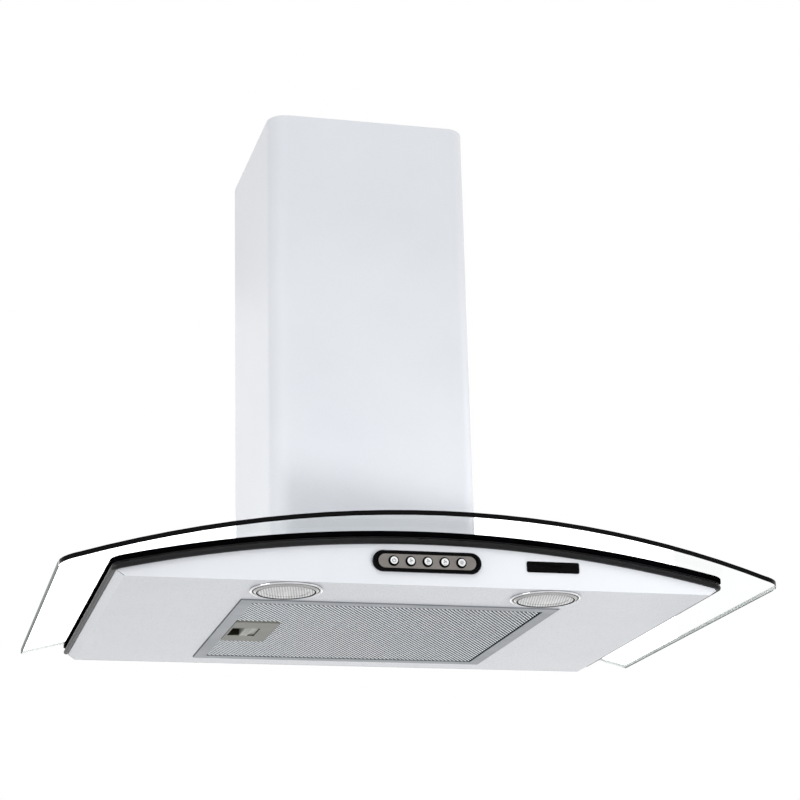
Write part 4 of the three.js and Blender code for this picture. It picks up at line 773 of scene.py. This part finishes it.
def grommet_profile():
    """(radius, height above the glass): a neck in the hole and a rounded flange on the glass."""
    ring = [(GROMMET_BORE, GROMMET_FOOT), (GROMMET_NECK, GROMMET_FOOT), (GROMMET_NECK, 0.3)]
    ring += [(8.6, 0.3)]
    ring += arc((8.5, 0.9), 0.5, -60, 90, 8)
    return ring + [(5.2, 1.45), (GROMMET_BORE, 1.5)]


def make_fixings():
    head = screw_profile()
    ring = grommet_profile()
    for number, turn in fixing_places():
        vertices, faces = lathe(head, (0, 0, 0), SCREW_RING, radius_at=hexagon)
        piece(
            "screw_head_%d" % number, turned(vertices, turn), faces, [POLISHED_STEEL], "hood",
            ["glass_screw_%d" % number], smooth=35,
        )
        vertices, faces = lathe(ring, (0, 0, 0), SCREW_RING, closed=True)
        piece(
            "grommet_ring_%d" % number, turned(vertices, turn), faces, [RUBBER], "hood",
            ["glass_grommet_%d" % number], smooth=40,
        )


make_fixings()

# ---------------------------------------------------------------- expanded metal of the filter

FOIL_PITCH_X = 3.8
FOIL_PITCH_Y = 5.9
FOIL_RIBBON = 0.98
FOIL_SHEET = 0.08
FOIL_TILTS = (math.radians(16), math.radians(50))  # of strands that run to the left and to the right
FOIL_RECESS = 0.7  # of the lower sheet, from the face of the frame
FOIL_INSET = 0.4  # of the upper sheet, from the top of the stack
CORE_INSET = 1.7
FOIL_MARGIN = 0.2  # of the upper sheet and the core, inside the stack
WINDOW_GAP = 0.3  # of the lower sheet, inside the window
PLATE_GAP = 0.5  # round the latch plate
PLATE_OVERRUN = 2.0  # of the hole, past the plate's outer end
WINDOW_RIM = (-130.0, 125.0, -264.5, -38.5)  # left, right, front and rear of the frame's window


def strand(start, end, tilt):
    """The corners of one tilted ribbon, four at each end."""
    along = (end - start).normalized()
    flat = Vector((along.y, -along.x, 0)).normalized()
    wide = math.cos(tilt) * flat + Vector((0, 0, math.sin(tilt)))
    thick = along.cross(wide).normalized()
    corners = []
    for point in (start, end):
        for a, b in ((-1, -1), (1, -1), (1, 1), (-1, 1)):
            side = a * wide * (FOIL_RIBBON / 2) + b * thick * (FOIL_SHEET / 2)
            corners.append(tuple(point + side))
    return corners


def foil(left, right, front, rear, level, hole):
    """Expanded metal: tilted ribbons between bonds that stand in staggered rows."""
    columns = int((right - left) / FOIL_PITCH_X) + 2
    rows = int((rear - front) / (FOIL_PITCH_Y / 2)) + 1
    vertices = []
    faces = []

    def bond(column, row):
        x = left + (column + (row % 2) / 2) * FOIL_PITCH_X
        return Vector((x, front + row * FOIL_PITCH_Y / 2, level))

    def outside(point):
        if not (left <= point.x <= right and front <= point.y <= rear):
            return True
        return hole[0] < point.x < hole[1] and hole[2] < point.y < hole[3]

    for row in range(rows):
        for column in range(-1, columns):
            start = bond(column, row)
            for lean, tilt in enumerate(FOIL_TILTS):
                end = bond(column + lean - (0 if row % 2 else 1), row + 1)
                if outside(start) or outside(end):
                    continue
                faces += box_faces(len(vertices))
                vertices += strand(start, end, tilt)
    return vertices, faces


def slab(left, right, front, rear, low, high, notch):
    """A thin sheet with a rectangular notch open to its left side."""
    _, notch_end, notch_front, notch_rear = notch
    outline = [(left, front), (right, front), (right, rear), (left, rear), (left, notch_rear)]
    outline += [(notch_end, notch_rear), (notch_end, notch_front), (left, notch_front)]
    count = len(outline)
    vertices = [(x, y, low) for x, y in outline] + [(x, y, high) for x, y in outline]
    faces = [list(range(count - 1, -1, -1)), [count + i for i in range(count)]]
    for i in range(count):
        j = (i + 1) % count
        faces.append([i, j, count + j, count + i])
    return vertices, faces


def make_foil():
    low, high = low_high("filter_mesh")
    plate_low, plate_high = low_high("latch_plate")
    hole = (plate_low.x - PLATE_OVERRUN, plate_high.x + PLATE_GAP)
    hole += (plate_low.y - PLATE_GAP, plate_high.y + PLATE_GAP)
    span = (low.x + FOIL_MARGIN, high.x - FOIL_MARGIN, low.y + FOIL_MARGIN, high.y - FOIL_MARGIN)
    insets = (WINDOW_GAP, -WINDOW_GAP, WINDOW_GAP, -WINDOW_GAP)
    window = [edge + inset for edge, inset in zip(WINDOW_RIM, insets)]
    frame_face = low_high("filter_frame")[0].z
    vertices, faces = foil(*window, frame_face + FOIL_RECESS, hole)
    piece(
        "filter_foil", vertices, faces, [MESH_ALUMINIUM], "filter",
        ["filter_mesh"], smooth=20,
    )
    # A dark sheet stands for the inner layers of foil; its darkness is painted shade.
    vertices, faces = slab(*span, low.z + CORE_INSET, high.z - CORE_INSET, hole)
    piece("filter_core_painted_shade", vertices, faces, [MESH_PAINTED_SHADE], "filter")
    vertices, faces = foil(*span, high.z - FOIL_INSET, hole)
    piece("filter_foil_top", vertices, faces, [MESH_ALUMINIUM], "filter")


make_foil()

# ---------------------------------------------------------------- lamps

FLUTE_DEPTH = 0.12
LENS_RADIUS = 23.4
LENS_STEP = 18.6
LENS_STEP_DEPTH = 0.6
LENS_EDGE_LEVEL = -2.3
LENS_CROWN = 0.4
LENS_STEPS = 120
LENS_RINGS = 30  # inside the step
LENS_RIM_RINGS = 8  # between the step and the rim
LENS_STEP_RUN = 0.2  # over which the step falls
LENS_SEAT = 25.0
RIM_FADE = 2.0  # the prisms run out over this much towards the rim
STEP_FADE = 1.2  # and over this much towards the step


def lens_level(x, y, radius):
    """The level of a lens's face, measured from the underside of the hood."""
    bulge = LENS_CROWN * (1 - (radius / LENS_RADIUS) ** 2)
    sunk = LENS_STEP_DEPTH if radius <= LENS_STEP else 0
    fade = min(1.0, (LENS_RADIUS - radius) / RIM_FADE, abs(LENS_STEP - radius) / STEP_FADE)
    across = x * math.cos(PRISM_TURN) - y * math.sin(PRISM_TURN)
    flute = fade * FLUTE_DEPTH * math.cos(2 * math.pi * across / PRISM_PITCH)
    return LENS_EDGE_LEVEL - bulge + sunk + flute


def lens_rings():
    """(radius, height) of the rings of a lens. A height of None follows its face."""
    rings = [(LENS_STEP * (i + 1) / LENS_RINGS, None) for i in range(LENS_RINGS)]
    for i in range(LENS_RIM_RINGS + 1):
        run = (LENS_RADIUS - LENS_STEP - LENS_STEP_RUN) * i / LENS_RIM_RINGS
        rings.append((LENS_STEP + LENS_STEP_RUN + run, None))
    return rings + [(LENS_RADIUS, -1.0), (LENS_SEAT, -0.9), (LENS_SEAT, 0.8)]


def lens_mesh(place):
    """A lens with prisms from front to back, a sunk middle and a flat rim behind it."""
    rings = lens_rings()
    vertices = [(place[0], place[1], place[2] + lens_level(0, 0, 0))]
    for radius, height in rings:
        for x, y in arc((0, 0), radius, 0, 360, LENS_STEPS)[:-1]:
            z = lens_level(x, y, radius) if height is None else height
            vertices.append((place[0] + x, place[1] + y, place[2] + z))
    faces = [[0, 1 + (i + 1) % LENS_STEPS, 1 + i] for i in range(LENS_STEPS)]
    for ring in range(len(rings) - 1):
        low = 1 + ring * LENS_STEPS
        for i in range(LENS_STEPS):
            j = (i + 1) % LENS_STEPS
            faces.append([low + i, low + j, low + LENS_STEPS + j, low + LENS_STEPS + i])
    last = 1 + (len(rings) - 1) * LENS_STEPS
    faces.append([last + i for i in range(LENS_STEPS)])
    return vertices, faces


CHROME, PAINTED_SHADE, SATIN = range(3)
LAMP_BORE = 25.4
LAMP_SLEEVE = 26.5
SLEEVE_TOP = 7.0
RIM_BACK = -0.15
GASKET_MIDDLE = (23.95, -2.25)  # radius and height
GASKET_RADIUS = 0.42
LAMP_STEPS = 96


def lamp_ring_outline(rim):
    """(radius, height, finish): sleeve, rolled rim, groove and the cone down to the lens. The back of
    the rim, the groove and the wall round the lens are painted shade.
    """
    outline = [(LAMP_BORE, SLEEVE_TOP, SATIN), (LAMP_SLEEVE, SLEEVE_TOP, SATIN)]
    outline += [(LAMP_SLEEVE, RIM_BACK, PAINTED_SHADE), (rim - 0.2, RIM_BACK, PAINTED_SHADE)]
    outline += [(*spot, CHROME) for spot in arc((rim - 1, -0.6), 1.0, 20, -170, 18)]
    outline += [(rim - 2, -0.4, PAINTED_SHADE), (rim - 2.4, -0.4, PAINTED_SHADE), (rim - 3.35, -1.35, SATIN)]
    outline += [(rim - 4.2, -2.1, SATIN), (25.1, -2.65, SATIN), (24.8, -2.75, SATIN)]
    return outline + [(24.6, -2.65, PAINTED_SHADE), (24.5, -1.2, PAINTED_SHADE), (LAMP_BORE, -1.2, SATIN)]


def make_lamp(side):
    low, high = low_high("lamp_bezel_" + side)
    place = ((low.x + high.x) / 2, (low.y + high.y) / 2, UNDERSIDE)
    outline = lamp_ring_outline((high.x - low.x) / 2)
    vertices, faces = lathe([spot[:2] for spot in outline], place, LAMP_STEPS, closed=True)
    tones = [spot[2] for spot in outline for _ in range(LAMP_STEPS)]
    piece(
        "lamp_ring_" + side, vertices, faces, [LAMP_CHROME, LAMP_PAINTED_SHADE, LAMP_SATIN], "hood",
        ["lamp_bezel_" + side], tones, smooth=38,
    )
    gasket = arc(GASKET_MIDDLE, GASKET_RADIUS, 0, 360, 12)[:-1]
    vertices, faces = lathe(gasket, place, LAMP_STEPS, closed=True)
    piece("lamp_gasket_" + side, vertices, faces, [BLACK_RUBBER_PAINTED_SHADE], "hood", smooth=60)
    vertices, faces = lens_mesh(place)
    piece(
        "lamp_prisms_" + side, vertices, faces, [LENS_GLASS], "hood",
        ["lamp_lens_" + side], smooth=50,
    )


make_lamp("left")
make_lamp("right")

# ---------------------------------------------------------------- control panel

OVAL_STEPS = 24  # round each end


def oval_stations(length, height, level):
    """Stations round an oval on the front panel: origin, outward and forward direction."""
    half = height / 2
    middle = length / 2 - half
    stations = []
    for side, start in ((1, -90), (-1, 90)):
        for x, z in arc((0, 0), 1.0, start, start + 180, OVAL_STEPS):
            origin = (side * middle + half * x, FRONT, level + half * z)
            stations.append((origin, (x, 0, z), (0, -1, 0)))
    return stations


def make_bezel():
    low, high = low_high("control_bezel")
    level = (low.z + high.z) / 2
    height = high.z - low.z
    proud = FRONT - low.y
    neck = FRONT - high.y
    section = [(-5.4, neck), (-3.7, neck), (-3.7, 0.3), (-0.2, 0.3), (0, 0.5)]
    section += arc((-1.3, proud - 1.3), 1.3, 0, 90, 8)
    section += arc((-2.2, proud - 0.6), 0.6, 90, 180, 5)
    section += [(-2.75, 1.0), (-5.4, 0.8)]
    vertices, faces = sweep(oval_stations(high.x - low.x, height, level), section, closed=True)
    piece(
        "panel_bezel", vertices, faces, [GLOSS_BLACK], "hood",
        ["control_bezel"], smooth=40,
    )


make_bezel()


# ---------------------------------------------------------------- buttons

BUTTONS = range(1, 6)
POWER, LAMP = 1, 5  # numbers of the outer buttons; those between set the fan
ICON_STROKE = 0.42
RAYS = 8
RAY_STROKE = 0.32
RAY_FROM = 1.35
RAY_TO = 2.0
BLADES = 3
BLADE_RADIUS = 0.62
HUB_REACH = 0.8
HUB_LEVEL = 0.35
DOT = 0.48
DOT_PITCH = 0.95
DOT_LEVEL = -1.9
ICON_LIFT = 0.24  # of the icon's back, behind the foremost point of the cap
ICON_HEIGHT = 0.22


def band(centre, radius, start, end, steps=16):
    """A flat arc as a list of (inner, outer) point pairs."""
    inner = arc(centre, radius - ICON_STROKE / 2, start, end, steps)
    outer = arc(centre, radius + ICON_STROKE / 2, start, end, steps)
    return list(zip(inner, outer))


def bar(start, end, width):
    """A straight stroke as two point pairs."""
    run = (end[0] - start[0], end[1] - start[1])
    length = math.hypot(*run)
    side = (-run[1] / length * width / 2, run[0] / length * width / 2)
    return [
        ((p[0] - side[0], p[1] - side[1]), (p[0] + side[0], p[1] + side[1])) for p in (start, end)
    ]


def power_icon():
    return [band((0, -0.1), 1.45, 125, 415), bar((0, 0.3), (0, 1.9), ICON_STROKE)]


def lamp_icon():
    strokes = [band((0, 0), 0.85, 0, 360)]
    for i in range(RAYS):
        angle = 2 * math.pi / RAYS * i
        way = (math.cos(angle), math.sin(angle))
        inner = (RAY_FROM * way[0], RAY_FROM * way[1])
        outer = (RAY_TO * way[0], RAY_TO * way[1])
        strokes.append(bar(inner, outer, RAY_STROKE))
    return strokes


def fan_icon(dots):
    """A fan over as many dots as its speed."""
    strokes = []
    for i in range(BLADES):
        angle = math.radians(90 + 120 * i)
        hub = (HUB_REACH * math.cos(angle), HUB_LEVEL + HUB_REACH * math.sin(angle))
        turn = math.degrees(angle)
        strokes.append(band(hub, BLADE_RADIUS, turn - 20, turn + 190, 10))
    for i in range(dots):
        x = (i - (dots - 1) / 2) * DOT_PITCH
        strokes.append(bar((x - DOT / 2, DOT_LEVEL), (x + DOT / 2, DOT_LEVEL), DOT))
    return strokes


def icon_strokes(number):
    """Plain symbols: power, a fan with one to three dots, and a lamp with rays."""
    if number == POWER:
        return power_icon()
    if number == LAMP:
        return lamp_icon()
    return fan_icon(number - POWER)


def stroke_mesh(strokes, centre_x, level, face, height):
    """Strokes printed on a face that looks to the front, as thin closed ribbons."""
    vertices = []
    faces = []
    top = face - height
    for stroke in strokes:
        first = len(vertices)
        for inner, outer in stroke:
            for point, y in ((inner, face), (outer, face), (outer, top), (inner, top)):
                vertices.append((centre_x + point[0], y, level + point[1]))
        count = len(stroke)
        for i in range(count - 1):
            for a, b in BOX_SIDES:
                near = first + i * 4
                faces.append([near + a, near + b, near + 4 + b, near + 4 + a])
        faces.append([first + k for k in (3, 2, 1, 0)])
        faces.append([first + (count - 1) * 4 + k for k in range(4)])
    return vertices, faces


FACE_RADIUS = 3.1
CAP_DEPTH = 4.6
STEM_RADIUS = 2.0
CAP_ROUNDING = 0.35
DISH = 0.18
SHADE_RING_PROUD = 0.55
SHADE_RING_SUNK = -1.0
BUTTON_STEPS = 48
FACING_FRONT = Matrix.Rotation(math.radians(90), 4, "X")  # +Z of a lathe turns to the front


def make_button_cap(number, place, radius, length):
    cap = [(0, -DISH), (1.4, -DISH * 0.8), (2.4, -DISH * 0.3), (FACE_RADIUS - 0.1, 0)]
    cap += [(FACE_RADIUS, -0.12)]
    tones = [0] * (len(cap) - 1)
    cap += arc((radius - CAP_ROUNDING, -0.45), CAP_ROUNDING, 90, 0, 6)
    cap += [(radius, -CAP_DEPTH), (STEM_RADIUS, -CAP_DEPTH), (STEM_RADIUS, -length), (0, -length)]
    tones += [1] * (len(cap) - 1 - len(tones))
    vertices, faces = lathe(cap, (0, 0, 0), BUTTON_STEPS)
    name = "button_%d" % number
    piece(
        "button_cap_%d" % number, turned(vertices, place), faces, [BUTTON_SILVER, GLOSS_BLACK],
        name, [name], [t for t in tones for _ in range(BUTTON_STEPS)], 35,
    )


# A black ring round each button stands for the shadow in the gap round it: painted shade.
def make_button_shade_ring(number, place, radius):
    shade_ring = [(radius + 0.2, SHADE_RING_SUNK), (radius + 0.2, SHADE_RING_PROUD - 0.2)]
    shade_ring += [(radius + 0.32, SHADE_RING_PROUD), (radius + 0.75, SHADE_RING_PROUD)]
    shade_ring += [(radius + 0.95, SHADE_RING_PROUD - 0.25), (radius + 0.95, 0.02), (radius + 0.28, 0.02)]
    shade_ring += [(radius + 0.28, SHADE_RING_SUNK)]
    vertices, faces = lathe(shade_ring, (0, 0, 0), BUTTON_STEPS, closed=True)
    piece(
        "button_collar_%d" % number, turned(vertices, place), faces, [GLOSS_BLACK], "hood",
        smooth=40,
    )


def make_button(number):
    low, high = low_high("button_%d" % number)
    x = (low.x + high.x) / 2
    level = (low.z + high.z) / 2
    radius = (high.x - low.x) / 2
    face = Matrix.Translation((x, low.y, level)) @ FACING_FRONT
    make_button_cap(number, face, radius, high.y - low.y)
    vertices, faces = stroke_mesh(icon_strokes(number), x, level, low.y + ICON_LIFT, ICON_HEIGHT)
    body = "button_%d" % number
    piece("button_icon_%d" % number, vertices, faces, [ICON_GREY], body)
    insert_face = low_high("control_insert")[0].y
    make_button_shade_ring(number, Matrix.Translation((x, insert_face, level)) @ FACING_FRONT, radius)


for button_number in BUTTONS:
    make_button(button_number)

# ---------------------------------------------------------------- bare plate on the front panel

PLATE_MIDDLE = (108.3, -5.2)  # x and z
PLATE_SIZE = (45.5, 9.2)
PLATE_CORNER = 1.4
PLATE_THICKNESS = 1.2
PLATE_PROFILE = ((0.0, 0.05), (0.0, 0.75), (0.12, 1.02), (0.42, PLATE_THICKNESS))  # inset and depth
PLATE_CORNER_STEPS = 8


def make_plate():
    half_x = PLATE_SIZE[0] / 2 - PLATE_CORNER
    half_z = PLATE_SIZE[1] / 2 - PLATE_CORNER
    corners = [(half_x, half_z, 0), (-half_x, half_z, 90), (-half_x, -half_z, 180)]
    corners += [(half_x, -half_z, 270)]
    rings = []
    for inset, depth in PLATE_PROFILE:
        ring = []
        for x, z, start in corners:
            ring += arc((x, z), PLATE_CORNER - inset, start, start + 90, PLATE_CORNER_STEPS)
        rings.append([(PLATE_MIDDLE[0] + x, FRONT - depth, PLATE_MIDDLE[1] + z) for x, z in ring])
    count = len(rings[0])
    vertices = [spot for ring in rings for spot in ring]
    faces = [list(range(count)), [(len(rings) - 1) * count + i for i in range(count)]]
    for r in range(len(rings) - 1):
        for i in range(count):
            j = (i + 1) % count
            faces.append([r * count + i, r * count + j, (r + 1) * count + j, (r + 1) * count + i])
    piece("front_plate", vertices, faces, [GLOSS_BLACK], "hood", smooth=40)


make_plate()

# ---------------------------------------------------------------- camera, light and floor

CAMERA_PLACE = (-0.46714, -2.02502, -0.42235)  # metres, as all that follows, and radians
CAMERA_YAW = 0.260613
CAMERA_PITCH = 0.309545
CAMERA_ROLL = -0.026302
CAMERA_LENS = 98.487  # millimetres, as the sensor
SENSOR = 36.0
CAMERA_CLIP = (0.05, 60.0)


def make_camera():
    data = bpy.data.cameras.new("camera")
    data.sensor_fit = "HORIZONTAL"
    data.sensor_width = SENSOR
    data.lens = CAMERA_LENS
    data.clip_start, data.clip_end = CAMERA_CLIP
    camera = bpy.data.objects.new("camera", data)
    bpy.context.scene.collection.objects.link(camera)
    level = math.cos(CAMERA_PITCH)
    ahead = Vector(
        (math.sin(CAMERA_YAW) * level, math.cos(CAMERA_YAW) * level, math.sin(CAMERA_PITCH))
    )
    right = Vector((math.cos(CAMERA_YAW), -math.sin(CAMERA_YAW), 0))
    up = right.cross(ahead)
    side = math.cos(CAMERA_ROLL) * right + math.sin(CAMERA_ROLL) * up
    top = math.cos(CAMERA_ROLL) * up - math.sin(CAMERA_ROLL) * right
    turn = Matrix((side, top, -ahead)).transposed().to_4x4()
    camera.matrix_world = Matrix.Translation(CAMERA_PLACE) @ turn
    bpy.context.scene.camera = camera


def seen_directly(tree):
    """1 for rays from the camera, off a glossy surface or through glass, and 0 for light."""
    path = tree.nodes.new("ShaderNodeLightPath")
    total = path.outputs["Is Camera Ray"]
    for name in ("Is Glossy Ray", "Is Transmission Ray"):
        most = tree.nodes.new("ShaderNodeMath")
        most.operation = "MAXIMUM"
        tree.links.new(total, most.inputs[0])
        tree.links.new(path.outputs[name], most.inputs[1])
        total = most.outputs[0]
    return total


AMBIENT = 0.5
AMBIENT_TINT = (0.97, 0.985, 1.0, 1)
BACKGROUND = 1.0


def make_world():
    world = bpy.data.worlds.new("studio")
    bpy.context.scene.world = world
    world.use_nodes = True
    tree = world.node_tree
    tree.nodes.clear()
    light = tree.nodes.new("ShaderNodeBackground")
    light.inputs["Color"].default_value = AMBIENT_TINT
    light.inputs["Strength"].default_value = AMBIENT
    shown = tree.nodes.new("ShaderNodeBackground")
    shown.inputs["Color"].default_value = (1, 1, 1, 1)
    shown.inputs["Strength"].default_value = BACKGROUND
    mix = tree.nodes.new("ShaderNodeMixShader")
    output = tree.nodes.new("ShaderNodeOutputWorld")
    tree.links.new(seen_directly(tree), mix.inputs["Fac"])
    tree.links.new(light.outputs[0], mix.inputs[1])
    tree.links.new(shown.outputs[0], mix.inputs[2])
    tree.links.new(mix.outputs[0], output.inputs["Surface"])


def softbox(name, place, aim, width, height, power, mirrored=True):
    """A soft lamp aimed at a point. One that isn't mirrored leaves no line on glossy paint."""
    data = bpy.data.lights.new(name, "AREA")
    data.shape = "RECTANGLE"
    data.size = width
    data.size_y = height
    data.energy = power
    lamp = bpy.data.objects.new(name, data)
    lamp.visible_glossy = mirrored
    bpy.context.scene.collection.objects.link(lamp)
    lamp.location = place
    lamp.rotation_euler = (Vector(aim) - Vector(place)).to_track_quat("-Z", "Y").to_euler()


FLOOR_LEVEL = -1.5
FLOOR_SIZE = 80.0
FLOOR_GLOW = 0.8  # how far the floor under the object is lifted to white where it is seen
FLOOR_FADE = (2.5, 7.0)  # metres over which it rises to plain white, so that no horizon shows


def make_floor():
    mesh = bpy.data.meshes.new("floor")
    edge = FLOOR_SIZE / 2
    corners = [(-edge, -edge), (edge, -edge), (edge, edge), (-edge, edge)]
    mesh.from_pydata([(x, y, FLOOR_LEVEL) for x, y in corners], [], [(0, 1, 2, 3)])
    n = Nodes("pale_floor")
    wear = n.noise(n.coordinates(), 3)
    lit = n.shader(
        Base_Color=n.ramp(wear, srgb(202, 203, 205), srgb(210, 211, 212)),
        Roughness=n.ramp(wear, 0.6, 0.75),
    )
    glow = n.add("ShaderNodeEmission")
    glow.inputs["Strength"].default_value = BACKGROUND
    distance = n.add("ShaderNodeVectorMath", operation="LENGTH")
    n.link(n.coordinates(), distance.inputs[0])
    share = n.add("ShaderNodeMath", operation="MULTIPLY")
    n.link(seen_directly(n.tree), share.inputs[0])
    n.link(n.ramp(distance.outputs["Value"], FLOOR_GLOW, 1.0, *FLOOR_FADE), share.inputs[1])
    mix = n.add("ShaderNodeMixShader")
    n.link(share.outputs[0], mix.inputs["Fac"])
    n.link(lit.outputs["BSDF"], mix.inputs[1])
    n.link(glow.outputs[0], mix.inputs[2])
    n.link(mix.outputs[0], n.output.inputs["Surface"])
    mesh.materials.append(n.material)
    floor = bpy.data.objects.new("floor", mesh)
    bpy.context.scene.collection.objects.link(floor)


make_camera()
make_world()
make_floor()
softbox("key", (-1.5, -1.9, 0.9), (0, -0.15, 0.2), 1.4, 1.4, 2.8)
softbox("top_front", (-0.1, -1.3, 1.35), (0, -0.15, 0.45), 1.0, 0.8, 3.4)
softbox("strip_right", (0.6, -0.95, -0.24), (0.13, -0.345, 0.0), 0.5, 0.08, 3.0, False)
softbox("strip_middle", (-0.05, -0.95, -0.24), (0.0, -0.345, 0.0), 0.8, 0.08, 0.65, False)
softbox("low_left", (-1.3, -0.5, -0.14), (-0.2, -0.2, 0.0), 0.7, 0.5, 5.3)
softbox("right", (2.2, -0.3, 0.3), (0.1, -0.15, 0.1), 1.4, 1.4, 8.6)
softbox("rear", (0.4, 2.2, 0.4), (0, 0, 0.15), 1.6, 1.6, 11)

bpy.context.scene.view_settings.view_transform = "Standard"
